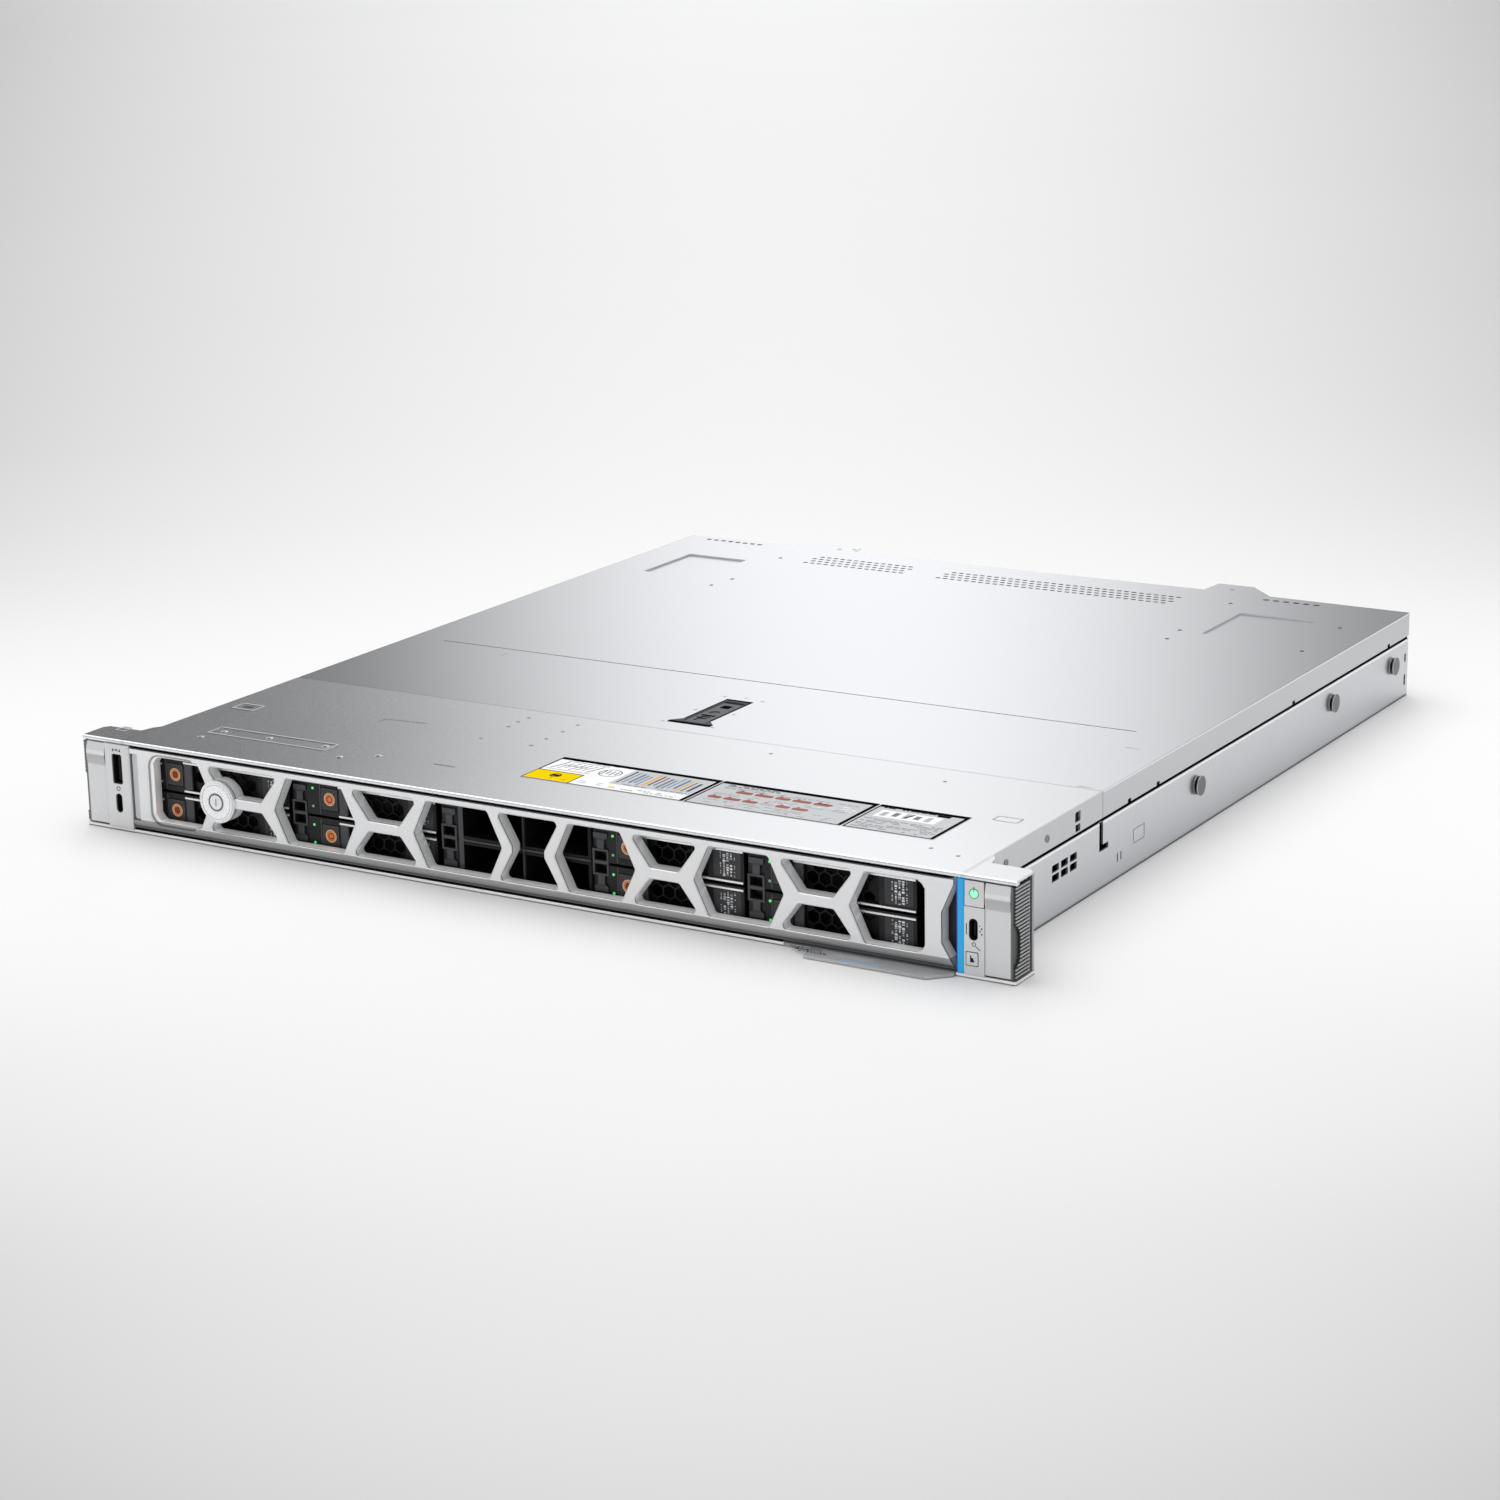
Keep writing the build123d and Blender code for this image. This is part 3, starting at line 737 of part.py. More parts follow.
# ---------------------------------------------------------------- case screws: side screws of the front panel and rear wall screws
screws = []
for y, z in ((22.0, 36.9), (60.0, 36.9)):
    s = rod((XC, y, z), (1, 0, 0), 1.7, 0.3)
    s = s.fuse(rod((XC - 1.7, y, z), (1, 0, 0), 1.0, 1.7))
    s = cut(s, box(XC + 0.1, XC + 1, y - 1.0, y + 1.0, z - 0.25, z + 0.25), box(XC + 0.1, XC + 1, y - 0.25, y + 0.25, z - 1.0, z + 1.0))
    screws += [s, mirror_x(s)]
node("side_studs_and_screws", *studs, *screws)

xs = [c for n in NODES.values() for s in n for c in (s.bounding_box().min, s.bounding_box().max)]
print("nodes", len(NODES), "box", [round(min(getattr(c, a) for c in xs), 2) for a in "XYZ"], [round(max(getattr(c, a) for c in xs), 2) for a in "XYZ"])
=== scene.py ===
import bpy
import math
import random
from mathutils import Matrix, Vector


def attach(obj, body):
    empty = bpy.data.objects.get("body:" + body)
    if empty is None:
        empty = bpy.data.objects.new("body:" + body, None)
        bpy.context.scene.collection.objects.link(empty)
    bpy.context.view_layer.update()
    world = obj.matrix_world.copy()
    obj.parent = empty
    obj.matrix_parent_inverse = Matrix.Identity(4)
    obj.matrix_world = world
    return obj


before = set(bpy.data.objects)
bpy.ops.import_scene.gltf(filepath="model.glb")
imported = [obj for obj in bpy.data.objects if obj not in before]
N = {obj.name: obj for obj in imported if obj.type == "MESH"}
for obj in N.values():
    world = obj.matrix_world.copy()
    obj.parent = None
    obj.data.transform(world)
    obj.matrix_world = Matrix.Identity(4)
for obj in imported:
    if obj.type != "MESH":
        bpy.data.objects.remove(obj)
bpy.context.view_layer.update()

MM = 0.001
H = 0.0435
random.seed(7)


# ============================================================ materials
def new_mat(name):
    m = bpy.data.materials.new(name)
    m.use_nodes = True
    nt = m.node_tree
    for n in list(nt.nodes):
        nt.nodes.remove(n)
    out = nt.nodes.new("ShaderNodeOutputMaterial")
    bs = nt.nodes.new("ShaderNodeBsdfPrincipled")
    nt.links.new(bs.outputs[0], out.inputs[0])
    return m, nt, bs


def coords(nt, scale=(1, 1, 1)):
    tc = nt.nodes.new("ShaderNodeTexCoord")
    mp = nt.nodes.new("ShaderNodeMapping")
    mp.inputs["Scale"].default_value = scale
    nt.links.new(tc.outputs["Object"], mp.inputs[0])
    return mp.outputs[0]


def noise(nt, vec, scale, detail=3.0, rough=0.5):
    n = nt.nodes.new("ShaderNodeTexNoise")
    n.inputs["Scale"].default_value = scale
    n.inputs["Detail"].default_value = detail
    n.inputs["Roughness"].default_value = rough
    nt.links.new(vec, n.inputs["Vector"])
    return n.outputs["Fac"]


def remap(nt, fac, lo, hi, a=0.3, b=0.7):
    r = nt.nodes.new("ShaderNodeMapRange")
    r.inputs["From Min"].default_value = a
    r.inputs["From Max"].default_value = b
    r.inputs["To Min"].default_value = lo
    r.inputs["To Max"].default_value = hi
    nt.links.new(fac, r.inputs["Value"])
    return r.outputs[0]


def mix_col(nt, fac, c0, c1):
    m = nt.nodes.new("ShaderNodeMix")
    m.data_type = "RGBA"
    m.inputs[6].default_value = (*c0, 1)
    m.inputs[7].default_value = (*c1, 1)
    nt.links.new(fac, m.inputs[0])
    return m.outputs[2]


def bump(nt, bs, fac, strength, dist):
    b = nt.nodes.new("ShaderNodeBump")
    b.inputs["Strength"].default_value = strength
    b.inputs["Distance"].default_value = dist
    nt.links.new(fac, b.inputs["Height"])
    nt.links.new(b.outputs[0], bs.inputs["Normal"])


def math_node(tree, op, a, b=None, clamp=False):
    n = tree.nodes.new("ShaderNodeMath")
    n.operation = op
    n.use_clamp = clamp
    for i, v in enumerate((a, b)):
        if v is None:
            continue
        if isinstance(v, (int, float)):
            n.inputs[i].default_value = v
        else:
            tree.links.new(v, n.inputs[i])
    return n.outputs[0]


def curve(tree, fac, lo, hi, stops, ease=False):
    """Smooth value along fac, given as (position, value) pairs between lo and hi; values up to 2."""
    r = tree.nodes.new("ShaderNodeValToRGB")
    r.color_ramp.interpolation = "EASE" if ease else "CARDINAL"
    el = r.color_ramp.elements
    while len(el) < len(stops):
        el.new(0.5)
    for e, (p, v) in zip(el, stops):
        e.position = (p - lo) / (hi - lo)
        e.color = (v / 2, v / 2, v / 2, 1)
    tree.links.new(math_node(tree, "DIVIDE", math_node(tree, "SUBTRACT", fac, lo), hi - lo, clamp=True), r.inputs[0])
    return math_node(tree, "MULTIPLY", r.outputs[0], 2.0)


def finish_mat(name, base, metallic=0.0, rough=0.4, var=0.06, rvar=0.06, grain=900.0, grain_amp=0.08, grain_dist=0.00005, stretch=(1, 1, 1), cloud=9.0, coat=0.0, spec=None, painted_shading=None, lift=None):
    """One painted, plated or moulded finish: cloudy colour change, uneven roughness and a fine grain.

    painted_shading: (axis, absolute, stops in millimetres) or a list of them scales the colour along that axis: painted
    shade and painted highlight zones.
    lift: the same kind of zone, driving a weak emission: a painted glow that stands in for light the walls bounce into
    each other."""
    m, nt, bs = new_mat(name)
    v = coords(nt)
    big = noise(nt, v, cloud, 4.0, 0.55)
    fine = noise(nt, coords(nt, stretch), grain, 2.0, 0.6)
    dark = tuple(max(0.0, c * (1 - var)) for c in base)
    lite = tuple(min(1.0, c * (1 + var)) for c in base)
    col = mix_col(nt, remap(nt, big, 0, 1, 0.35, 0.65), dark, lite)
    sep = nt.nodes.new("ShaderNodeSeparateXYZ")
    nt.links.new(v, sep.inputs[0])

    def zone(z):
        a = math_node(nt, "MULTIPLY", sep.outputs[z[0]], 1000.0)
        if z[1]:
            a = math_node(nt, "ABSOLUTE", a)
        return curve(nt, a, z[2][0][0], z[2][-1][0], z[2], True)

    # painted shade and painted highlight: the colour is scaled zone by zone along the given axes
    for z in (painted_shading if isinstance(painted_shading, list) else [painted_shading] if painted_shading else []):
        scl = nt.nodes.new("ShaderNodeVectorMath")
        scl.operation = "SCALE"
        nt.links.new(col, scl.inputs[0])
        nt.links.new(zone(z), scl.inputs["Scale"])
        col = scl.outputs[0]
    # painted light: emission brightens the zone in place of bounced light
    if lift:
        nt.links.new(col, bs.inputs["Emission Color"])
        nt.links.new(zone(lift), bs.inputs["Emission Strength"])
    nt.links.new(col, bs.inputs["Base Color"])
    add = nt.nodes.new("ShaderNodeMath")
    add.operation = "ADD"
    nt.links.new(remap(nt, big, rough - rvar, rough + rvar, 0.35, 0.65), add.inputs[0])
    nt.links.new(remap(nt, fine, -0.03, 0.03), add.inputs[1])
    nt.links.new(add.outputs[0], bs.inputs["Roughness"])
    bs.inputs["Metallic"].default_value = metallic
    if coat:
        bs.inputs["Coat Weight"].default_value = coat
        bs.inputs["Coat Roughness"].default_value = 0.25
    if spec is not None:
        bs.inputs["Specular IOR Level"].default_value = spec
    bump(nt, bs, fine, grain_amp, grain_dist)
    return m


def glow_mat(name, col, strength, rough=0.3):
    m, nt, bs = new_mat(name)
    v = coords(nt)
    f = noise(nt, v, 400.0, 2.0)
    nt.links.new(mix_col(nt, remap(nt, f, 0, 1), tuple(c * 0.92 for c in col), col), bs.inputs["Base Color"])
    bs.inputs["Emission Color"].default_value = (*col, 1)
    bs.inputs["Emission Strength"].default_value = strength
    bs.inputs["Roughness"].default_value = rough
    bump(nt, bs, f, 0.05, 0.00005)
    return m


MAT = {
    # cover_steel: painted shade darkens the side skirt (|x| 216.5-218 mm); a painted highlight brightens the band just
    # under the top face (z 42.95-43.35 mm)
    "cover": finish_mat("cover_steel", (0.62, 0.63, 0.65), 0.92, 0.23, var=0.008, rvar=0.004, grain=2600.0, grain_amp=0.08, grain_dist=0.00002, cloud=4.0, painted_shading=[(0, True, [(216.0, 1.0), (216.5, 0.84), (218.0, 0.84)]), (2, False, [(42.7, 1.0), (42.95, 1.45), (43.35, 1.5), (43.47, 1.0), (44.5, 1.0)])]),
    # panel_steel: painted highlight along the front edge (y -17.2 to -15.6 mm); painted shade on the side faces (|x|
    # 216.5-218 mm)
    "panel": finish_mat("panel_steel", (0.64, 0.65, 0.665), 0.88, 0.26, var=0.008, rvar=0.005, grain=2600.0, grain_amp=0.10, grain_dist=0.00002, cloud=5.0, painted_shading=[(1, False, [(-17.2, 1.28), (-16.3, 1.26), (-15.6, 1.04), (60.0, 1.0)]), (0, True, [(216.0, 1.0), (216.5, 0.84), (218.0, 0.84), (219.0, 1.0), (242.0, 1.0)])]),
    # side_steel: painted contact shadow at the floor line (z below 1 mm), painted highlight just under the seam (z
    # 29.1-29.8 mm) and painted shade above the seam
    "side": finish_mat("side_steel", (0.62, 0.63, 0.65), 0.88, 0.32, var=0.015, rvar=0.015, grain=2200.0, grain_amp=0.12, grain_dist=0.00002, cloud=6.0, painted_shading=(2, False, [(-0.1, 0.12), (0.55, 0.18), (1.0, 0.85), (2.0, 1.0), (28.7, 1.0), (29.1, 1.45), (29.8, 1.45), (30.1, 0.8), (44.0, 0.8)])),
    # bezel_satin: painted shade on the lower band (z 2.3-6.9 mm), painted highlight on the window sills (z 7.1-7.5 mm),
    # lighter front faces, a painted shade band just behind the window chamfers (y about -17 mm), and lift adds a
    # painted glow on the window walls from y -16.1 mm
    "bezel": finish_mat("bezel_satin", (0.80, 0.805, 0.81), 0.40, 0.30, var=0.02, rvar=0.03, grain=2400.0, grain_amp=0.10, grain_dist=0.00002, painted_shading=[(2, False, [(2.3, 0.24), (4.2, 0.34), (5.8, 0.40), (6.9, 0.47), (7.1, 1.0), (7.2, 1.22), (7.5, 1.0), (30.0, 1.0), (38.0, 1.02), (40.5, 1.06)]), (1, False, [(-19.2, 1.22), (-18.4, 1.18), (-17.7, 1.0), (-17.46, 1.05), (-17.1, 1.10), (-16.98, 0.36), (-16.6, 0.44), (-16.3, 1.10), (-10.8, 1.04)])], lift=(1, False, [(-17.2, 0.0), (-16.5, 0.0), (-16.1, 0.13), (-14.0, 0.13), (-10.8, 0.08)])),
    # bright_edge: painted contact shadow at the floor line (z below 0.3 mm), painted highlight across the rounded lip
    # (z 0.36-1.42 mm) and painted shade at its top (z above 1.5 mm)
    "bright": finish_mat("bright_edge", (0.86, 0.865, 0.87), 0.30, 0.20, var=0.02, rvar=0.03, grain=2000.0, grain_amp=0.05, grain_dist=0.00002, painted_shading=(2, False, [(-0.1, 0.06), (0.24, 0.10), (0.36, 0.98), (0.60, 1.15), (1.42, 1.15), (1.56, 0.7), (1.70, 0.4)])),
    "panelface": finish_mat("control_panel_satin", (0.70, 0.705, 0.71), 0.70, 0.34, var=0.02, rvar=0.03, grain=2200.0, grain_amp=0.10, grain_dist=0.00002),
    # cap_satin: painted reflection, a darker band at z 30.8-34.4 mm with a brighter zone above it
    "capface": finish_mat("cap_satin", (0.72, 0.725, 0.73), 0.45, 0.30, var=0.02, rvar=0.03, grain=2400.0, grain_amp=0.10, grain_dist=0.00002, painted_shading=(2, False, [(2.0, 1.0), (29.6, 1.0), (30.8, 0.70), (34.4, 0.66), (35.6, 1.15), (41.5, 1.20)])),
    "lockface": finish_mat("lock_satin", (0.93, 0.935, 0.94), 0.15, 0.26, var=0.02, rvar=0.03, grain=2400.0, grain_amp=0.08, grain_dist=0.00002),
    # tag_satin: painted highlight on the front edge (y about -26.6 mm), darker at the very front, and painted shade
    # further back under the bezel
    "tagface": finish_mat("tag_satin", (0.50, 0.505, 0.515), 0.30, 0.34, var=0.03, rvar=0.03, grain=2400.0, grain_amp=0.10, grain_dist=0.00002, painted_shading=(1, False, [(-27.4, 0.7), (-26.6, 1.15), (-25.8, 1.0), (-18.0, 0.92), (-16.0, 0.75), (-10.0, 0.7)])),
    # tag_sheen: a painted bluish sheen, laid on the tag as a flat patch
    "tag_painted_sheen": finish_mat("tag_sheen", (0.42, 0.62, 0.86), 0.4, 0.3, var=0.05, rvar=0.03, grain=2400.0, grain_amp=0.10, grain_dist=0.00002),
    "chrome": finish_mat("chrome_trim", (0.88, 0.88, 0.89), 0.6, 0.22, var=0.03, rvar=0.04, grain=1500.0, grain_amp=0.04, grain_dist=0.00002),
    "black": finish_mat("black_moulding", (0.008, 0.008, 0.009), 0.0, 0.50, var=0.2, rvar=0.06, grain=1800.0, grain_amp=0.25, grain_dist=0.00004, spec=0.2),
    # carrier_moulding: painted shade darkens everything behind the front face (y from -8.2 mm)
    "carrier": finish_mat("carrier_moulding", (0.016, 0.016, 0.017), 0.0, 0.45, var=0.2, rvar=0.06, grain=1600.0, grain_amp=0.25, grain_dist=0.00004, spec=0.25, painted_shading=(1, False, [(-9.4, 1.0), (-8.8, 0.9), (-8.2, 0.3), (0.0, 0.3)])),
    # cage_coat: painted highlight on the front faces (y about -9 mm) and painted shade on the faces behind them
    "cage": finish_mat("cage_coat", (0.030, 0.031, 0.033), 0.05, 0.45, var=0.2, rvar=0.06, grain=1200.0, grain_amp=0.2, grain_dist=0.00004, spec=0.3, painted_shading=(1, False, [(-9.0, 1.7), (-8.4, 1.6), (-7.9, 0.7), (-6.0, 0.5), (0.0, 0.5)])),
    "catch": finish_mat("catch_grey", (0.075, 0.077, 0.082), 0.0, 0.45, var=0.12, rvar=0.06, grain=1500.0, grain_amp=0.2, grain_dist=0.00004, spec=0.3),
    "labelblock": finish_mat("label_block", (0.050, 0.051, 0.055), 0.0, 0.5, var=0.1, rvar=0.06, grain=1800.0, grain_amp=0.2, grain_dist=0.00003, spec=0.3),
    # grip_coat: painted highlight on the ridge tips at the outer face (|x| above 240.86 mm), painted shade in the
    # grooves just inside (|x| 240.25-240.7 mm), darker further in
    "grip": finish_mat("grip_coat", (0.27, 0.275, 0.28), 0.45, 0.36, var=0.06, rvar=0.05, grain=1500.0, grain_amp=0.18, grain_dist=0.00003, painted_shading=(0, True, [(228.0, 0.7), (239.4, 0.6), (240.25, 0.14), (240.70, 0.20), (240.86, 1.35), (241.5, 1.35)])),
    "greybar": finish_mat("lever_grey", (0.62, 0.63, 0.64), 0.35, 0.34, var=0.03, rvar=0.04, grain=1800.0, grain_amp=0.12, grain_dist=0.00002),
    "keysq": finish_mat("key_square", (0.045, 0.040, 0.036), 0.0, 0.42, var=0.15, rvar=0.06, grain=1800.0, grain_amp=0.2, grain_dist=0.00003, spec=0.35),
    "orange": finish_mat("orange_ring", (0.88, 0.23, 0.035), 0.0, 0.38, var=0.08, rvar=0.05, grain=1500.0, grain_amp=0.1, grain_dist=0.00003),
    # darker orange: painted shade for the dished centre of the release buttons
    "orange_shaded_centre": finish_mat("orange_centre_painted_shade", (0.24, 0.035, 0.012), 0.0, 0.42, var=0.12, rvar=0.05, grain=1500.0, grain_amp=0.1, grain_dist=0.00003),
    "cream": finish_mat("cream_ring", (0.83, 0.66, 0.45), 0.0, 0.45, var=0.06, rvar=0.05, grain=1500.0, grain_amp=0.1, grain_dist=0.00003),
    "mark": finish_mat("pale_mark", (0.80, 0.81, 0.81), 0.0, 0.5, var=0.08, rvar=0.05, grain=1500.0, grain_amp=0.1, grain_dist=0.00002),
    "markdim": finish_mat("dim_mark", (0.40, 0.41, 0.42), 0.0, 0.5, var=0.08, rvar=0.05, grain=1500.0, grain_amp=0.1, grain_dist=0.00002),
    "ink": finish_mat("ink", (0.012, 0.012, 0.013), 0.0, 0.5, var=0.1, rvar=0.05, grain=1500.0, grain_amp=0.1, grain_dist=0.00002, spec=0.15),
    "inkflat": finish_mat("ink_flat", (0.004, 0.004, 0.005), 0.0, 0.9, var=0.1, rvar=0.03, grain=1500.0, grain_amp=0.05, grain_dist=0.00001, spec=0.0),
    "inkmid": finish_mat("ink_mid", (0.10, 0.105, 0.11), 0.0, 0.8, var=0.1, rvar=0.03, grain=1500.0, grain_amp=0.05, grain_dist=0.00001, spec=0.0),
    # stud_steel: painted shadow darkens the stud necks, and the heads a little less (|x| above 217.35 mm); the screws
    # further in keep the plain colour
    "stud": finish_mat("stud_steel", (0.45, 0.455, 0.46), 0.9, 0.34, var=0.06, rvar=0.06, grain=1200.0, grain_amp=0.12, grain_dist=0.00003, painted_shading=(0, True, [(216.0, 1.0), (217.25, 1.0), (217.35, 0.12), (218.5, 0.12), (218.62, 0.35), (219.3, 0.35)])),
    "inkgrey": finish_mat("ink_grey", (0.16, 0.165, 0.17), 0.0, 0.5, var=0.1, rvar=0.05, grain=1500.0, grain_amp=0.1, grain_dist=0.00002, spec=0.2),
    "lab_white": finish_mat("film_white", (0.90, 0.905, 0.91), 0.0, 0.6, var=0.02, rvar=0.03, grain=1500.0, grain_amp=0.06, grain_dist=0.00002, spec=0.1),
    "lab_grey": finish_mat("film_grey", (0.55, 0.565, 0.58), 0.0, 0.6, var=0.03, rvar=0.03, grain=1500.0, grain_amp=0.06, grain_dist=0.00002, spec=0.1),
    "lab_yellow": finish_mat("film_yellow", (0.88, 0.62, 0.005), 0.0, 0.7, var=0.03, rvar=0.03, grain=1500.0, grain_amp=0.06, grain_dist=0.00002, spec=0.0),
    "lab_red": finish_mat("film_red", (0.36, 0.15, 0.12), 0.0, 0.8, var=0.10, rvar=0.03, grain=1500.0, grain_amp=0.06, grain_dist=0.00002, spec=0.0),
    "lab_blue": finish_mat("film_blue", (0.13, 0.24, 0.42), 0.0, 0.7, var=0.06, rvar=0.03, grain=1500.0, grain_amp=0.06, grain_dist=0.00002, spec=0.0),
    "lab_orange": finish_mat("film_orange", (0.80, 0.42, 0.10), 0.0, 0.7, var=0.06, rvar=0.03, grain=1500.0, grain_amp=0.06, grain_dist=0.00002, spec=0.0),
    "board": finish_mat("board_mask", (0.02, 0.13, 0.07), 0.0, 0.35, var=0.25, rvar=0.06, grain=700.0, grain_amp=0.3, grain_dist=0.0001, cloud=60.0),
    "fins": finish_mat("fin_metal", (0.68, 0.69, 0.70), 1.0, 0.3, var=0.05, rvar=0.05, grain=900.0, grain_amp=0.1, grain_dist=0.00003),
    "gold": finish_mat("plug_metal", (0.62, 0.60, 0.55), 1.0, 0.25, var=0.05, rvar=0.05, grain=900.0, grain_amp=0.1, grain_dist=0.00003),
    "screw": finish_mat("zinc_screw", (0.50, 0.51, 0.52), 1.0, 0.32, var=0.08, rvar=0.08, grain=1200.0, grain_amp=0.12, grain_dist=0.00003),
    "fan": finish_mat("fan_moulding", (0.02, 0.02, 0.022), 0.0, 0.45, var=0.15, rvar=0.06, grain=900.0, grain_amp=0.2, grain_dist=0.00004),
    "bluetab": finish_mat("blue_tab", (0.10, 0.27, 0.50), 0.0, 0.4, var=0.08, rvar=0.06, grain=1500.0, grain_amp=0.15, grain_dist=0.00003),
    "cable": finish_mat("cable_sleeve", (0.05, 0.05, 0.06), 0.0, 0.55, var=0.15, rvar=0.05, grain=2500.0, grain_amp=0.5, grain_dist=0.00008),
    "latch": finish_mat("latch_moulding", (0.075, 0.079, 0.085), 0.0, 0.6, var=0.12, rvar=0.04, grain=1600.0, grain_amp=0.2, grain_dist=0.00003, spec=0.10),
    "latchgrey": finish_mat("latch_inset", (0.13, 0.136, 0.145), 0.0, 0.6, var=0.1, rvar=0.04, grain=1600.0, grain_amp=0.2, grain_dist=0.00003, spec=0.10),
    "cyan": glow_mat("status_cyan", (0.005, 0.30, 0.62), 0.45),
    "cyan_dark": finish_mat("status_edge", (0.01, 0.05, 0.35), 0.0, 0.35, var=0.1, rvar=0.04),
    "green": glow_mat("led_green", (0.06, 0.62, 0.14), 0.85),
    "greenicon": glow_mat("power_icon", (0.26, 0.85, 0.46), 0.75),
    "greenring": finish_mat("power_ring", (0.05, 0.28, 0.13), 0.0, 0.4),
    "leddim": glow_mat("led_pale", (0.28, 0.46, 0.30), 0.12),
}


def paint(o, mat):
    if not o.material_slots:
        o.data.materials.append(mat)
    for s in o.material_slots:
        s.material = mat


LOOK = {
    "chassis_tray": "side", "front_top_panel": "panel", "top_cover": "cover", "rear_wall": "side", "front_flange": "bright",
    "bezel_frame": "bezel", "bezel_lock": "lockface", "bezel_release_lever": "greybar", "left_control_panel": "panelface", "right_control_panel": "panelface",
    "power_button": "panelface", "id_button": "panelface", "status_light_strip": "cyan", "front_port_shells": "black", "info_tag": "tagface",
    "left_ear_cap": "capface", "right_ear_cap": "capface", "left_ear_grip": "grip", "right_ear_grip": "grip", "left_ear_screw": "screw", "right_ear_screw": "screw",
    "drive_cage": "cage", "drive_carriers": "carrier", "drive_modules": "cage", "drive_blanks": "black", "drive_backplane": "board", "fan_housings": "fan",
    "system_board": "board", "processors": "fins", "cpu_heatsinks": "fins", "memory_modules": "board", "air_shroud": "black", "riser_card": "board",
    "network_card": "board", "rear_io_ports": "gold", "drive_cables": "cable", "side_studs_and_screws": "stud", "service_label": "lab_grey",
    "latch_base": "latch", "latch_handle": "latchgrey", "left_psu_case": "side", "right_psu_case": "side", "left_psu_inlet": "black", "right_psu_inlet": "black",
    "left_psu_latch": "bluetab", "right_psu_latch": "bluetab", "left_psu_rotor": "fan", "right_psu_rotor": "fan",
}
for name, o in N.items():
    key = LOOK.get(name)
    if key is None:
        key = "keysq" if name.startswith("drive_button") else "fan"
    paint(o, MAT[key])


# ============================================================ edge rounding on the carried-over pieces
def soften(name, width_mm, seg=2, angle=32.0, dissolve=True):
    o = N[name]
    if dissolve:
        d = o.modifiers.new("flat", "DECIMATE")
        d.decimate_type = "DISSOLVE"
        d.angle_limit = math.radians(0.6)
    b = o.modifiers.new("round", "BEVEL")
    b.width = width_mm * MM
    b.segments = seg
    b.limit_method = "ANGLE"
    b.angle_limit = math.radians(angle)
    b.use_clamp_overlap = True
    b.harden_normals = False
    for p in o.data.polygons:
        p.use_smooth = True
    w = o.modifiers.new("normals", "WEIGHTED_NORMAL")
    w.keep_sharp = True
    w.weight = 100


for name, wd in (("bezel_frame", 0.45), ("front_flange", 0.18), ("left_control_panel", 0.15), ("right_control_panel", 0.15), ("power_button", 0.2), ("id_button", 0.18),
                 ("left_ear_cap", 0.3), ("right_ear_cap", 0.3), ("bezel_release_lever", 0.3), ("info_tag", 0.2), ("bezel_lock", 0.15),
                 ("latch_handle", 0.18), ("latch_base", 0.15), ("drive_blanks", 0.15)):
    soften(name, wd)


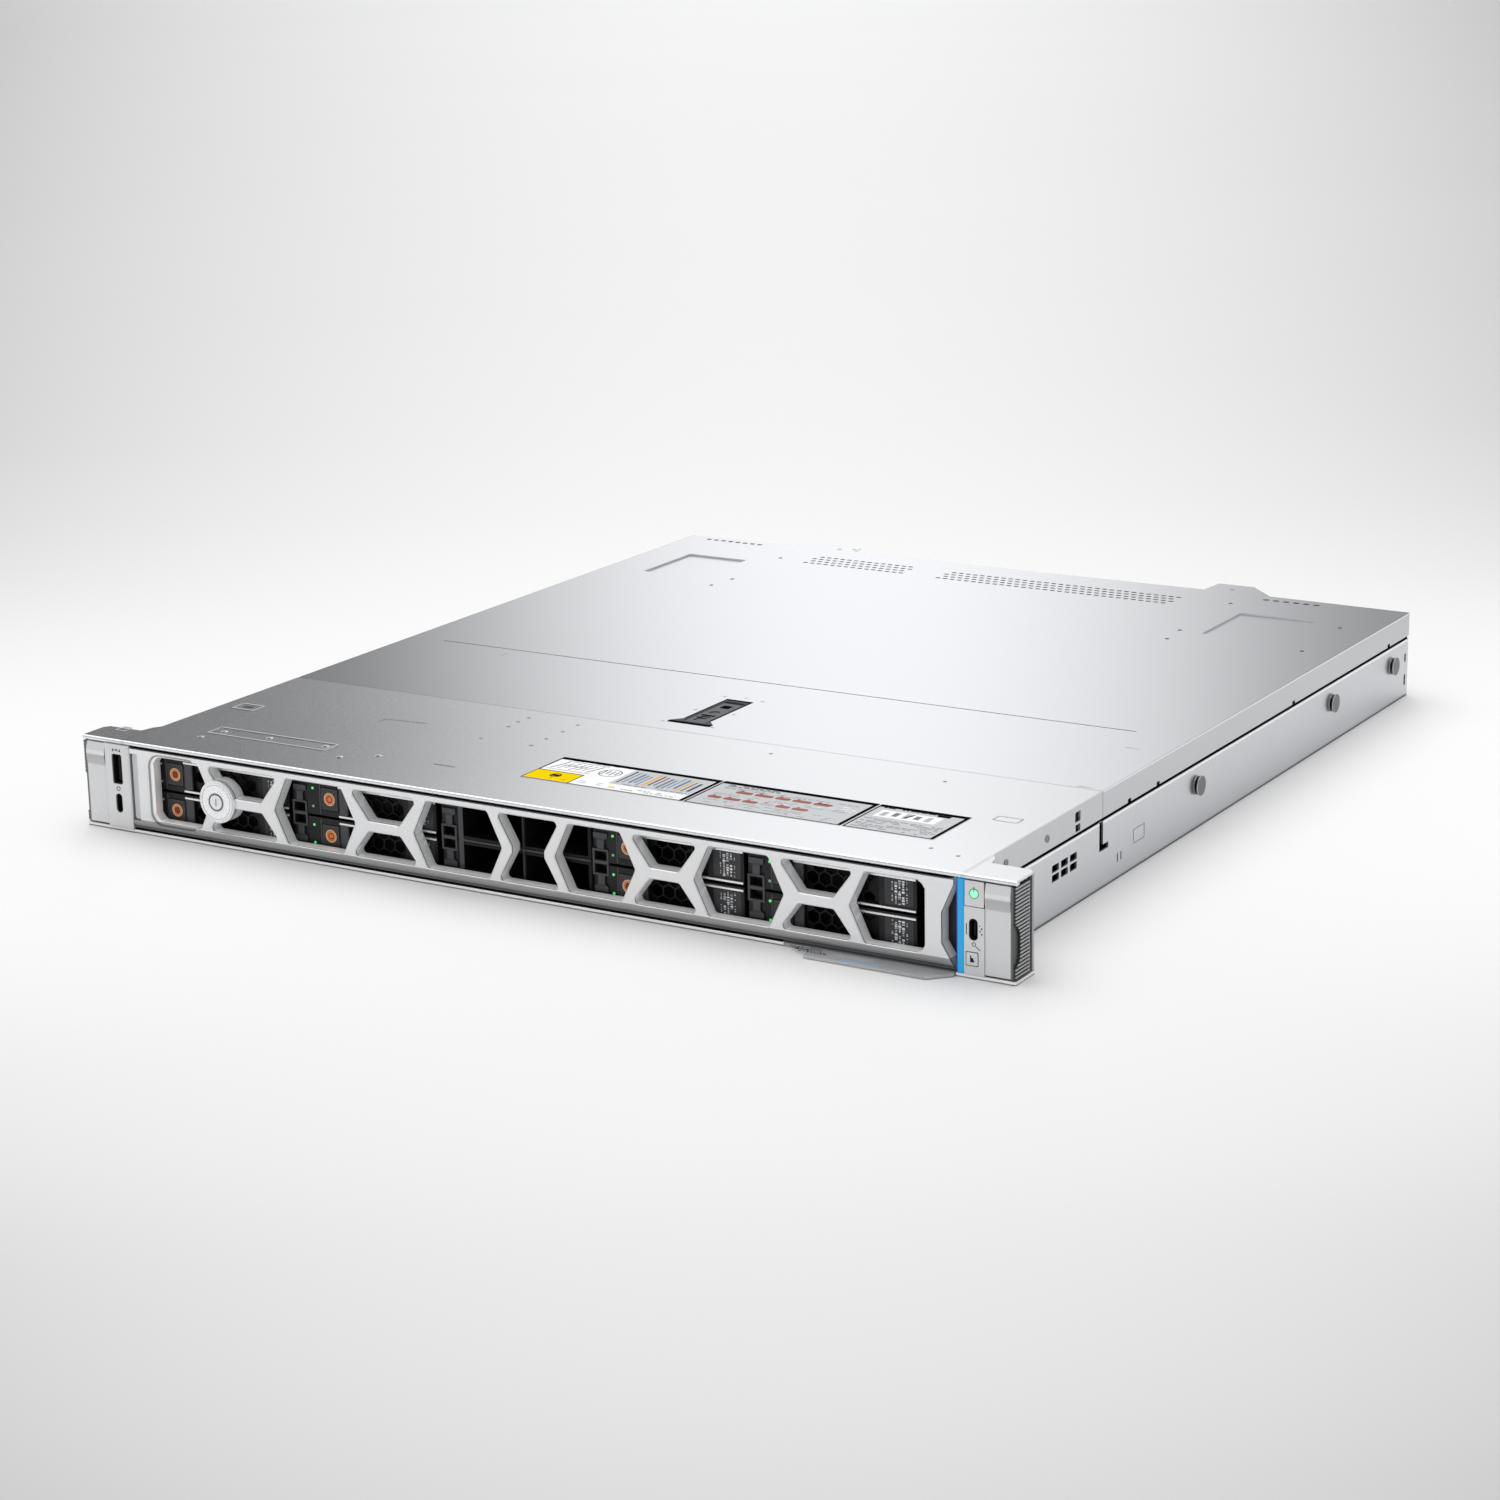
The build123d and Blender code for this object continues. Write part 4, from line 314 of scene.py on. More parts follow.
# ============================================================ mesh helpers (millimetres in, metres out)
class Build:
    def __init__(self, name, mats):
        self.name, self.mats = name, mats
        self.v, self.f, self.m = [], [], []

    def mi(self, key):
        if key not in self.mats:
            self.mats.append(key)
        return self.mats.index(key)

    def add(self, vs, fs, key):
        b = len(self.v)
        self.v += [tuple(c * MM for c in p) for p in vs]
        self.f += [tuple(b + i for i in f) for f in fs]
        self.m += [self.mi(key)] * len(fs)

    def box(self, x0, x1, y0, y1, z0, z1, key):
        vs = [(x0, y0, z0), (x1, y0, z0), (x1, y1, z0), (x0, y1, z0), (x0, y0, z1), (x1, y0, z1), (x1, y1, z1), (x0, y1, z1)]
        self.add(vs, [(0, 3, 2, 1), (4, 5, 6, 7), (0, 1, 5, 4), (1, 2, 6, 5), (2, 3, 7, 6), (3, 0, 4, 7)], key)

    def prism(self, pts, axis, a0, a1, key):
        """pts: polygon, anticlockwise seen from the positive end of axis, in the two other axes in cyclic order."""
        n = len(pts)
        vs = []
        for a in (a0, a1):
            for p, q in pts:
                vs.append({"x": (a, p, q), "y": (q, a, p), "z": (p, q, a)}[axis])
        fs = [tuple(reversed(range(n))), tuple(range(n, 2 * n))]
        fs += [(i, (i + 1) % n, n + (i + 1) % n, n + i) for i in range(n)]
        self.add(vs, fs, key)

    def disc(self, c, axis, r, a0, a1, key, n=28, r_top=None):
        r_top = r if r_top is None else r_top
        vs, base = [], {"x": (c[1], c[2]), "y": (c[2], c[0]), "z": (c[0], c[1])}[axis]
        for a, rr in ((a0, r), (a1, r_top)):
            for k in range(n):
                t = 2 * math.pi * k / n
                p, q = base[0] + rr * math.cos(t), base[1] + rr * math.sin(t)
                vs.append({"x": (a, p, q), "y": (q, a, p), "z": (p, q, a)}[axis])
        fs = [tuple(reversed(range(n))), tuple(range(n, 2 * n))]
        fs += [(i, (i + 1) % n, n + (i + 1) % n, n + i) for i in range(n)]
        self.add(vs, fs, key)

    def torus(self, c, axis, r, tube, key, n=36, k=10, flat=1.0):
        vs, fs = [], []
        for i in range(n):
            t = 2 * math.pi * i / n
            for j in range(k):
                s = 2 * math.pi * j / k
                rr = r + tube * math.cos(s)
                h = tube * flat * math.sin(s)
                p, q = rr * math.cos(t), rr * math.sin(t)
                vs.append({"x": (c[0] + h, c[1] + p, c[2] + q), "y": (c[0] + q, c[1] + h, c[2] + p), "z": (c[0] + p, c[1] + q, c[2] + h)}[axis])
        for i in range(n):
            for j in range(k):
                a, b = i * k + j, i * k + (j + 1) % k
                d, e = ((i + 1) % n) * k + j, ((i + 1) % n) * k + (j + 1) % k
                fs.append((a, d, e, b))
        self.add(vs, fs, key)

    def done(self, body, bevel=0.0, smooth=True, seg=2):
        me = bpy.data.meshes.new(self.name)
        me.from_pydata(self.v, [], self.f)
        me.update()
        o = bpy.data.objects.new(self.name, me)
        bpy.context.scene.collection.objects.link(o)
        for k in self.mats:
            me.materials.append(MAT[k])
        for p, i in zip(me.polygons, self.m):
            p.material_index = i
            p.use_smooth = smooth
        if bevel:
            b = o.modifiers.new("round", "BEVEL")
            b.width = bevel * MM
            b.segments = seg
            b.limit_method = "ANGLE"
            b.angle_limit = math.radians(35)
            w = o.modifiers.new("normals", "WEIGHTED_NORMAL")
            w.keep_sharp = True
        elif smooth:
            for e in me.edges:
                pass
            o.modifiers.new("split", "EDGE_SPLIT").split_angle = math.radians(35)
        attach(o, body)
        return o


def rounded(x0, x1, y0, y1, r, n=5):
    pts = []
    for cx, cy, a in ((x1 - r, y0 + r, -90), (x1 - r, y1 - r, 0), (x0 + r, y1 - r, 90), (x0 + r, y0 + r, 180)):
        for k in range(n + 1):
            t = math.radians(a + 90 * k / n)
            pts.append((cx + r * math.cos(t), cy + r * math.sin(t)))
    return pts


def frame_pts(b, x0, x1, z0, z1, w, y0, y1, key):
    """Thin rectangular outline on a front face."""
    b.box(x0, x1, y0, y1, z0, z0 + w, key)
    b.box(x0, x1, y0, y1, z1 - w, z1, key)
    b.box(x0, x0 + w, y0, y1, z0 + w, z1 - w, key)
    b.box(x1 - w, x1, y0, y1, z0 + w, z1 - w, key)


# ============================================================ drive faces
CH = 15.9
COLS = {0: (-202.7, -127.7, -193.4, -201.4), 1: (-117.2, -46.2, -104.8, -114.0), 3: (43.9, 110.9, 53.4, 46.0), 4: (121.2, 192.4, 129.6, 123.4)}
ROW_Z = (3.4, 20.5)
FY = -9.0

trims = Build("carrier_edge_trims", ["chrome"])
marks = Build("carrier_label_marks", ["mark", "markdim", "labelblock"])
leds = Build("carrier_lights", ["green", "leddim"])
combs = Build("carrier_lever_detail", ["carrier", "catch"])
k = 0
for col in (0, 1, 3, 4):
    for row in (1, 0):
        k += 1
        (x0, x1, xb, xl), z0 = COLS[col], ROW_Z[row]
        z1 = z0 + CH
        zc = (z0 + z1) / 2
        for za in ((z0 + 0.28, z1 - 2.17) if row else (z0 + 1.18, z1 - 1.77)):
            trims.box(xb + 5.3, x1 - 0.25, FY - 0.5, FY + 0.2, za, za + 0.94, "chrome")
        # light lenses in the left strip
        rl = 0.5 if col == 0 else 0.62
        leds.disc((xl, 0, zc + 4.2), "y", rl, FY - 0.12, FY + 0.1, "green" if col else "leddim", n=16)
        leds.disc((xl, 0, zc - 4.2), "y", rl, FY - 0.12, FY + 0.1, "green" if col and not row else "leddim", n=16)
        # lever hinge line and finger edge between the button and the grille
        combs.box(xb + 5.6, xb + 9.8, FY - 0.06, FY + 0.3, z0 + (1.4 if row else 2.3), z1 - (2.4 if row else 2.0), "catch")
        combs.box(xb - 5.5, xb - 4.9, FY - 0.12, FY + 0.3, z0 + 0.6, z1 - 0.6, "catch")
        # label block and its dot and bar marks, turned a quarter
        bx0, bx1 = x1 - 14.9, x1 - 1.5
        marks.prism([(p, q) for q, p in reversed(rounded(bx0, bx1, zc - 5.7, zc + 5.6, 0.6))], "y", FY - 0.02, FY + 0.45, "labelblock")
        rnd = random.Random(40 + k)
        for ci, cx in enumerate((bx0 + 3.6, bx0 + 5.3, bx0 + 7.0, bx0 + 8.7, bx0 + 10.4)):
            z = zc + (5.0 if ci != 1 else 4.2)
            while z > zc - 5.0:
                big = ci in (1, 2, 3)
                h = rnd.choice((0.4, 0.6, 0.9)) if big else rnd.choice((0.3, 0.45))
                w = rnd.choice((0.7, 1.0, 1.25)) if big else rnd.choice((0.35, 0.6))
                if rnd.random() > (0.16 if big else 0.45):
                    marks.box(cx - w / 2, cx + w / 2, FY - 0.06, FY, z - h, z, "mark" if rnd.random() > 0.35 else "markdim")
                z -= h + rnd.choice((0.25, 0.35, 0.5))
trims.done("chassis", bevel=0.14)
marks.done("chassis", smooth=False)
leds.done("chassis")
combs.done("chassis", bevel=0.08)

# skins of the divider catches
b = Build("divider_catches", ["catch"])
y0, y1 = -8.86, -8.70
for xd in (-121.9, -39.7, 39.4, 116.6):
    for za, zb in ((14.3, 15.1), (19.4, 20.8), (25.1, 25.9)):
        b.box(xd - 4.0, xd + 4.0, y0, y1, za, zb, "catch")
    for zz in (15.1, 20.8):
        for sgn in (-1, 1):
            b.box(xd + min(sgn * 3.15, sgn * 4.0), xd + max(sgn * 3.15, sgn * 4.0), y0, y1, zz, zz + 4.3, "catch")
    for sgn in (-1, 1):
        zc = 20.1
        a = [zc + sgn * q for q in (6.0, 9.9, 11.0, 13.0)]
        b.box(xd - 1.7, xd + 1.7, y0 + 0.2, y1 + 0.2, min(a[0], a[1]), max(a[0], a[1]), "catch")
        b.box(xd - 3.5, xd + 3.5, y0 + 0.2, y1 + 0.2, min(a[1] + sgn * 0.9, a[3]), max(a[1] + sgn * 0.9, a[3]), "catch")
        b.box(xd - 3.9, xd - 1.5, y0 + 0.9, y1 + 0.9, min(zc + sgn * 14.6, zc + sgn * 16.2), max(zc + sgn * 14.6, zc + sgn * 16.2), "catch")
b.done("chassis", bevel=0.06)

# thin seams across the middle blanks
b = Build("blank_seams", ["catch", "cage"])
b.box(-0.4, 0.0, FY - 0.05, FY + 0.2, 3.6, 36.2, "catch")
b.box(-34.3, -31.9, FY - 0.12, FY + 0.2, 3.6, 36.2, "catch")
b.box(-31.9, 34.6, FY - 0.10, FY + 0.2, 19.5, 20.3, "catch")
b.done("chassis", bevel=0.05)

# release buttons: cream border, orange ring, and a centre in darker orange as painted shade of the dished middle (plain
# orange in the second column)
k = 0
for col in (0, 1, 3, 4):
    for row in (1, 0):
        k += 1
        cx, cz = COLS[col][2], ROW_Z[row] + CH / 2
        b = Build("release_ring_%d" % k, ["cream", "orange", "orange_shaded_centre", "keysq"])
        b.torus((cx, FY - 0.02, cz), "y", 2.80, 0.24, "cream", flat=0.8)
        b.torus((cx, FY + 0.10, cz), "y", 2.05, 0.55, "orange", flat=0.7)
        b.disc((cx, 0, cz), "y", 0.9, FY - 0.18, FY + 0.3, "orange" if col == 1 else "orange_shaded_centre", r_top=1.5)
        frame_pts(b, cx - 4.5, cx + 4.5, cz - 4.95, cz + 4.95, 0.4, FY - 0.18, FY - 0.05, "catch")
        b.done("carrier_key_%d" % k)

# ============================================================ lock rosette rings
b = Build("lock_rings", ["lockface", "inkgrey"])
LX, LZ = -161.7, 22.05
b.torus((LX, -19.10, LZ), "y", 3.80, 0.34, "inkgrey", n=48)
b.torus((LX, -19.08, LZ), "y", 4.45, 0.22, "lockface", n=48)
b.torus((LX, -18.95, LZ), "y", 8.95, 0.32, "lockface", n=64)
b.torus((LX, -19.06, LZ), "y", 8.05, 0.10, "inkgrey", n=64, k=8)
b.done("bezel")

# ============================================================ control panel icons and port rims
b = Build("left_panel_marks", ["ink", "inkgrey"])
y0, y1 = -17.96, -17.88
b.box(-222.6, -221.4, y0, y1, 38.6, 39.0, "ink"); b.box(-222.6, -222.2, y0, y1, 38.0, 39.4, "ink")
b.box(-220.9, -219.5, y0, y1, 38.4, 39.3, "inkgrey"); b.box(-219.0, -217.9, y0, y1, 38.2, 38.6, "ink"); b.box(-218.4, -218.0, y0, y1, 38.6, 39.5, "ink")
b.done("chassis", smooth=False)
b = Build("left_panel_ring", ["inkgrey", "ink"])
b.torus((-220.3, -17.92, 20.4), "y", 0.95, 0.16, "ink", n=28, k=8)
b.done("chassis")
b = Build("right_panel_marks", ["ink", "inkgrey"])
y0, y1 = -17.06, -16.98
b.box(218.9, 219.25, y0, y1, 18.4, 23.0, "ink")
b.box(224.9, 225.5, y0, y1, 20.2, 20.7, "ink"); b.box(225.7, 226.3, y0, y1, 19.0, 19.6, "ink"); b.box(225.6, 226.2, y0, y1, 21.2, 21.9, "ink"); b.box(224.9, 225.3, y0, y1, 22.4, 22.9, "inkgrey")
b.done("chassis", smooth=False)
b = Build("right_panel_loop", ["ink"])
b.torus((222.4, -17.0, 14.6), "y", 0.75, 0.14, "ink", n=24, k=8)
b.prism([(14.0, 223.2), (13.7, 223.2), (12.2, 225.2), (12.5, 225.3)], "y", -17.08, -16.98, "ink")
b.done("chassis")
b = Build("power_icon_light", ["greenicon", "greenring"])
b.disc((222.5, 0, 35.9), "y", 1.75, -17.06, -16.9, "greenicon", n=40)
b.torus((222.5, -17.0, 35.9), "y", 1.95, 0.20, "greenring", n=40, k=8)
b.box(222.3, 222.7, -17.14, -16.95, 36.6, 38.6, "greenring")
b.done("power_key")
b = Build("id_icon", ["ink"])
b.box(220.8, 221.3, -17.16, -17.08, 7.0, 9.8, "ink"); b.box(221.3, 222.2, -17.16, -17.08, 7.0, 8.8, "ink"); b.box(222.2, 222.6, -17.16, -17.08, 7.0, 7.9, "ink")
b.done("id_key", smooth=False)
b = Build("status_strip_edge", ["cyan_dark"])
b.box(214.55, 215.0, -17.05, -12.6, 1.9, 41.2, "cyan_dark")
b.done("chassis", bevel=0.1)

# ============================================================ painted shadow: flat black strips in the gaps above and below the bezel
b = Build("front_gap_shadows", ["inkflat"])
b.box(-212.6, 212.6, -16.9, -13.7, 40.72, 41.45, "inkflat")
b.box(-212.6, 133.4, -16.6, -10.4, 1.5, 2.2, "inkflat")
b.done("chassis", bevel=0.1)

# ============================================================ shadow lines of the side seams, and painted highlight rims on the rail studs
b = Build("side_seams", ["inkflat"])
for sgn in (-1, 1):
    xa, xb = sorted((sgn * 215.1, sgn * 216.5))
    b.box(xa, xb, 12.0, 480.6, 30.15, 31.5, "inkflat")
b.done("chassis", smooth=False)
b = Build("stud_rim_highlights", ["chrome"])
for sgn in (-1, 1):
    for y in (214.0, 377.0, 459.0):
        b.torus((sgn * 219.02, y, 20.3), "x", 4.45, 0.26, "chrome", n=40, k=8, flat=0.7)
b.done("chassis")

# ============================================================ service label print
b = Build("service_label_print", ["lab_white", "lab_grey", "lab_yellow", "inkflat", "inkmid", "inkgrey", "lab_red", "lab_blue", "lab_orange", "markdim", "mark"])
LZ0, LZ1 = 43.60, 43.66


def patch(x0, x1, y0, y1, key, lift=0.0):
    b.box(x0, x1, y0, y1, LZ0 + lift, LZ1 + lift, key)


rnd = random.Random(5)


def lines(x0, x1, ys, key, lift, fill=0.7, h=0.35):
    for y in ys:
        x = x0
        while x < x1:
            w = rnd.uniform(1.2, 4.5)
            w = min(w, x1 - x)
            if rnd.random() < fill and w > 0.4:
                patch(x, x + w, y, y + h, key, lift)
            x += w + rnd.uniform(0.4, 1.0)


# black frames first, wide at the rear and between the three parts
for x0, x1 in ((-19.4, 63.9), (64.9, 141.7), (142.7, 185.4)):
    patch(x0, x1, 18.1, 52.9, "inkflat")
# part 1: yellow block, white band, drawing, grey columns
patch(-18.4, 62.2, 18.6, 49.5, "lab_white", 0.02)
patch(-18.8, 4.6, 18.8, 31.4, "lab_yellow", 0.03)
patch(-18.8, 4.6, 31.4, 32.2, "inkflat", 0.03)
patch(4.6, 5.2, 18.4, 32.2, "inkflat", 0.03)
patch(-8.2, -4.4, 25.0, 27.6, "inkflat", 0.05)
lines(-16.0, 2.0, [21.4], "inkmid", 0.05, 0.7, 0.5)
b.torus((-6.3, 26.3, LZ1 + 0.04), "z", 2.4, 0.3, "inkflat", n=28, k=6, flat=0.2)
lines(8.0, 20.0, [24.0, 21.8], "inkgrey", 0.03, 0.7, 0.5)
patch(24.0, 27.4, 20.8, 22.6, "lab_yellow", 0.04)
lines(31.0, 58.0, [22.6, 20.6], "inkmid", 0.04, 0.75, 0.6)
# line drawing of a generic module: slanted strokes and boxes
for i in range(7):
    t = -16.0 + 3.1 * i
    b.prism([(t, 36.0 + (i % 3)), (t + 0.7, 36.0 + (i % 3)), (t + 4.2, 46.5 - (i % 2)), (t + 3.4, 46.5 - (i % 2))], "z", LZ0 + 0.03, LZ1 + 0.03, "inkgrey" if i % 3 else "inkmid")
patch(-17.0, 6.0, 34.4, 34.9, "inkgrey", 0.03); patch(-14.0, 8.0, 47.6, 48.1, "inkmid", 0.03); patch(-12.0, 0.0, 41.0, 42.4, "markdim", 0.04)
b.torus((13.5, 40.0, LZ1 + 0.03), "z", 5.2, 0.28, "inkmid", n=36, k=6, flat=0.2)
for i in range(4):
    patch(9.6 + 2.2 * i, 10.4 + 2.2 * i, 37.0 + 1.2 * (i % 2), 43.0, "inkgrey", 0.05)
lines(-12.0, 18.0, [49.2], "inkflat", 0.04, 0.85, 0.8)
patch(21.0, 61.8, 26.4, 49.4, "lab_grey", 0.03)
for i in range(15):
    key = ("inkmid", "inkgrey", "lab_blue", "inkgrey", "lab_blue", "lab_orange", "inkmid")[i % 7]
    w = (1.0, 0.7, 1.4)[i % 3]
    patch(23.0 + 2.5 * i, 23.0 + 2.5 * i + w, 29.0 + (i % 4), 47.5 - (i % 5), key, 0.05)
lines(22.0, 60.5, [27.4], "inkmid", 0.05, 0.8, 0.6)
# part 2: two rows of reddish pills over grey
patch(65.8, 140.0, 18.6, 49.5, "lab_grey", 0.02)
lines(70.0, 96.0, [48.2, 46.6], "inkflat", 0.04, 0.85, 0.7)
for yy, xa, n_ in ((38.6, 78.0, 5), (28.2, 70.0, 6)):
    x = xa
    for i in range(n_):
        w = rnd.uniform(6.5, 10.5)
        b.prism([(px, py) for px, py in rounded(x, min(x + w, 136.5), yy, yy + 3.4, 1.4, 3)], "z", LZ0 + 0.04, LZ1 + 0.04, "markdim" if (i == 3 and n_ == 6) else "lab_red")
        patch(x + 1.2, x + 2.6, yy + 3.4, yy + 4.6, "lab_red", 0.04)
        x += w + 1.1
lines(70.0, 136.0, [44.4, 43.2], "inkgrey", 0.04, 0.6, 0.5)
lines(118.0, 138.0, [41.0, 38.4, 35.8], "mark", 0.04, 0.6, 0.8)
lines(70.0, 136.0, [35.6, 33.8, 25.6, 23.8, 21.6], "inkgrey", 0.04, 0.5, 0.4)
lines(84.0, 132.0, [20.2], "lab_red", 0.04, 0.5, 0.5)
# part 3: fine dotted lines, a pale drawing and a few dark marks
patch(143.6, 183.8, 18.6, 49.5, "lab_grey", 0.02)
lines(145.0, 183.0, [20.6 + 1.7 * i for i in range(8)], "inkmid", 0.04, 0.6, 0.5)
lines(146.0, 172.0, [48.6], "inkflat", 0.04, 0.85, 0.8)
patch(147.0, 176.0, 36.4, 46.0, "lab_white", 0.03)
for i in range(5):
    patch(149.0 + 5.2 * i, 151.6 + 5.2 * i, 38.0 + (i % 2), 43.6 + (i % 3) * 0.7, "inkgrey" if i % 2 else "markdim", 0.05)
b.prism([(160.0, 39.0), (161.4, 39.0), (163.4, 44.6), (162.6, 44.8)], "z", LZ0 + 0.06, LZ1 + 0.06, "inkflat")
patch(172.0, 178.0, 47.0, 49.4, "inkflat", 0.04)
b.done("chassis", smooth=False)

# ============================================================ cover latch details
b = Build("latch_inset", ["inkflat", "inkmid"])
b.prism(rounded(-2.4, 2.4, 158.0, 163.0, 0.6), "z", 43.27, 43.36, "inkflat")
for x0, x1, y0, y1 in ((-3.6, 3.8, 143.2, 145.0), (-2.2, 2.6, 141.0, 142.4), (-4.0, -0.6, 139.6, 140.2)):
    b.box(x0, x1, y0, y1, 43.27, 43.36, "inkflat")
b.done("cover_latch", smooth=False)
b = Build("latch_outline", ["inkflat"])
b.box(-11.6, 11.6, 126.2, 129.2, 43.40, 43.56, "inkflat")
for sgn in (-1, 1):
    xa, xb = sorted((sgn * 6.4, sgn * 7.3))
    b.box(xa, xb, 134.6, 172.8, 43.42, 43.55, "inkflat")
b.box(-7.3, 7.3, 171.2, 173.4, 43.42, 43.55, "inkflat")
b.done("cover", smooth=False)
b = Build("cover_crease", ["inkmid"])
b.box(-197.0, 189.0, 207.6, 208.3, 43.08, 43.15, "inkmid")
b.done("cover", smooth=False)

# ============================================================ pressed outlines and small screws of the fixed top panel: each pressed line drawn as painted shade and painted highlight, a dark strip beside a light one; each screw a pale disc with a dark spot
b = Build("panel_marks", ["inkmid", "mark", "lab_grey"])


def outline(x0, x1, y0, y1, wx=0.6, wy=0.9):
    # painted shade and painted highlight: a dark strip beside a light strip along the long sides, a light strip along
    # the short sides
    for yy in (y0, y1):
        b.box(x0, x1, yy - wy, yy, 43.49, 43.55, "inkmid")
        b.box(x0, x1, yy, yy + wy, 43.49, 43.555, "lab_grey")
    for xx in (x0, x1):
        b.box(xx - wx / 2, xx + wx / 2, y0, y1, 43.49, 43.56, "lab_grey")


outline(-191.0, -123.5, 12.4, 22.8)
outline(-209.4, -197.0, 53.0, 61.6)
b.box(-205.4, -200.4, 55.4, 59.2, 43.49, 43.56, "inkmid")
outline(-232.6, -227.4, -3.6, 2.2, 0.4, 0.7)
for x, y in ((-188.7, 5.0), (-158.6, 17.6), (-126.8, 18.2), (-110.3, 6.8), (-95.7, 16.5), (-184.6, 17.0)):
    b.prism(rounded(x - 1.6, x + 1.6, y - 1.7, y + 1.7, 1.5), "z", 43.49, 43.55, "mark")
    b.prism(rounded(x - 1.1, x + 1.1, y - 1.6, y + 0.6, 0.9), "z", 43.49, 43.56, "inkmid")
b.done("chassis", smooth=False)

# ============================================================ bare metal face of the expansion card's bracket
b = Build("card_bracket_skin", ["screw"])
for x0, x1, z0, z1 in ((20.0, 29.0, 23.4, 39.4), (41.0, 47.0, 23.4, 39.4), (59.0, 96.0, 23.4, 39.4), (29.0, 41.0, 23.4, 31.3), (29.0, 41.0, 37.5, 39.4), (47.0, 59.0, 23.4, 31.3), (47.0, 59.0, 37.5, 39.4)):
    b.box(x0, x1, 479.45, 479.60, z0, z1, "screw")
b.done("chassis", smooth=False)

# ============================================================ dark mesh lining under the roof vents
b = Build("vent_lining", ["black"])
for x0, x1, y0, y1 in ((-125.0, -60.0, 445.6, 465.4), (-41.0, 98.5, 444.2, 462.8), (-205.0, -166.5, 473.8, 477.8), (137.8, 171.0, 473.8, 477.8)):
    b.box(x0, x1, y0, y1, 42.30, 42.46, "black")
b.done("cover", smooth=False)

# ============================================================ information tag marks, with one patch of painted bluish sheen
b = Build("info_tag_print", ["ink", "inkgrey", "tag_painted_sheen", "markdim"])
rnd = random.Random(11)
for j, y in enumerate((-18.2, -19.6, -21.0, -22.3)):
    x = 138.4 + 2.0 * j
    while x < 153.0 + 1.5 * j:
        w = rnd.uniform(0.6, 1.7)
        b.box(x, x + w, y - 0.75, y, 1.5, 1.54, "ink" if rnd.random() < 0.7 else "inkgrey")
        x += w + rnd.uniform(0.35, 0.8)
b.box(160.0, 178.0, -22.6, -19.0, 1.5, 1.53, "markdim")
# painted sheen: a bluish patch standing in for a reflection
b.box(166.0, 184.0, -25.6, -23.4, 1.5, 1.53, "tag_painted_sheen")
b.done("tag", smooth=False)

# ============================================================ floor, light and camera
VIEW_AZ = 31.14                                     # the photograph looks in from this side of straight ahead
floor_mat, nt, bs = new_mat("studio_floor")


# the pale sweep with a painted pool of light: the colour is brightest around the object and painted darker towards the
# lens and the far corners, as light falling off
tc = nt.nodes.new("ShaderNodeTexCoord")
mp = nt.nodes.new("ShaderNodeMapping")
mp.inputs["Rotation"].default_value = (0, 0, math.radians(-VIEW_AZ))
nt.links.new(tc.outputs["Object"], mp.inputs[0])
sx = nt.nodes.new("ShaderNodeSeparateXYZ")
nt.links.new(mp.outputs[0], sx.inputs[0])
along, across = sx.outputs[1], sx.outputs[0]
depth = curve(nt, along, -1.0, 6.0, [(-1.0, 0.50), (-0.56, 0.70), (-0.35, 0.84), (-0.15, 0.92), (0.13, 0.97), (0.50, 0.96), (0.80, 0.90), (1.74, 0.86), (5.6, 0.88)])
side = math_node(nt, "DIVIDE", math_node(nt, "SUBTRACT", across, 0.094), math_node(nt, "MAXIMUM", math_node(nt, "ADD", along, 1.45), 0.3))
side2 = math_node(nt, "MULTIPLY", side, side)
fall = curve(nt, along, -1.0, 6.0, [(-1.0, 0.58), (-0.56, 0.54), (-0.35, 0.42), (-0.10, 0.06), (0.30, 0.02), (0.60, 0.55), (1.05, 0.98), (2.5, 1.21), (5.6, 1.57)])
fade = math_node(nt, "SUBTRACT", 1.0, math_node(nt, "MINIMUM", math_node(nt, "MULTIPLY", math_node(nt, "MULTIPLY", side2, fall), 5.0), 0.46))
# painted light pool: the floor colour carries the falloff
painted_shading = math_node(nt, "MULTIPLY", math_node(nt, "MULTIPLY", depth, fade), 0.93)
f = noise(nt, tc.outputs["Object"], 1.6, 2.0)
painted_shading = math_node(nt, "MULTIPLY", painted_shading, remap(nt, f, 0.995, 1.005))
cc = nt.nodes.new("ShaderNodeCombineColor")
for i in range(3):
    nt.links.new(painted_shading, cc.inputs[i])
nt.links.new(cc.outputs[0], bs.inputs["Base Color"])
bs.inputs["Roughness"].default_value = 0.6
bs.inputs["Specular IOR Level"].default_value = 0.15
me = bpy.data.meshes.new("studio_floor")
me.from_pydata([(-9, -9, 0), (9, -9, 0), (9, 9, 0), (-9, 9, 0)], [], [(0, 1, 2, 3)])
floor = bpy.data.objects.new("studio_floor", me)
bpy.context.scene.collection.objects.link(floor)
me.materials.append(floor_mat)
floor.location = (0, 0, -0.0001)

sun_d = bpy.data.lights.new("overhead_soft", "SUN")
sun_d.energy = 2.1
sun_d.angle = math.radians(75)
sun = bpy.data.objects.new("overhead_soft", sun_d)
bpy.context.scene.collection.objects.link(sun)
sun.rotation_euler = Vector((0.25, -0.20, -1.0)).to_track_quat("-Z", "Y").to_euler()

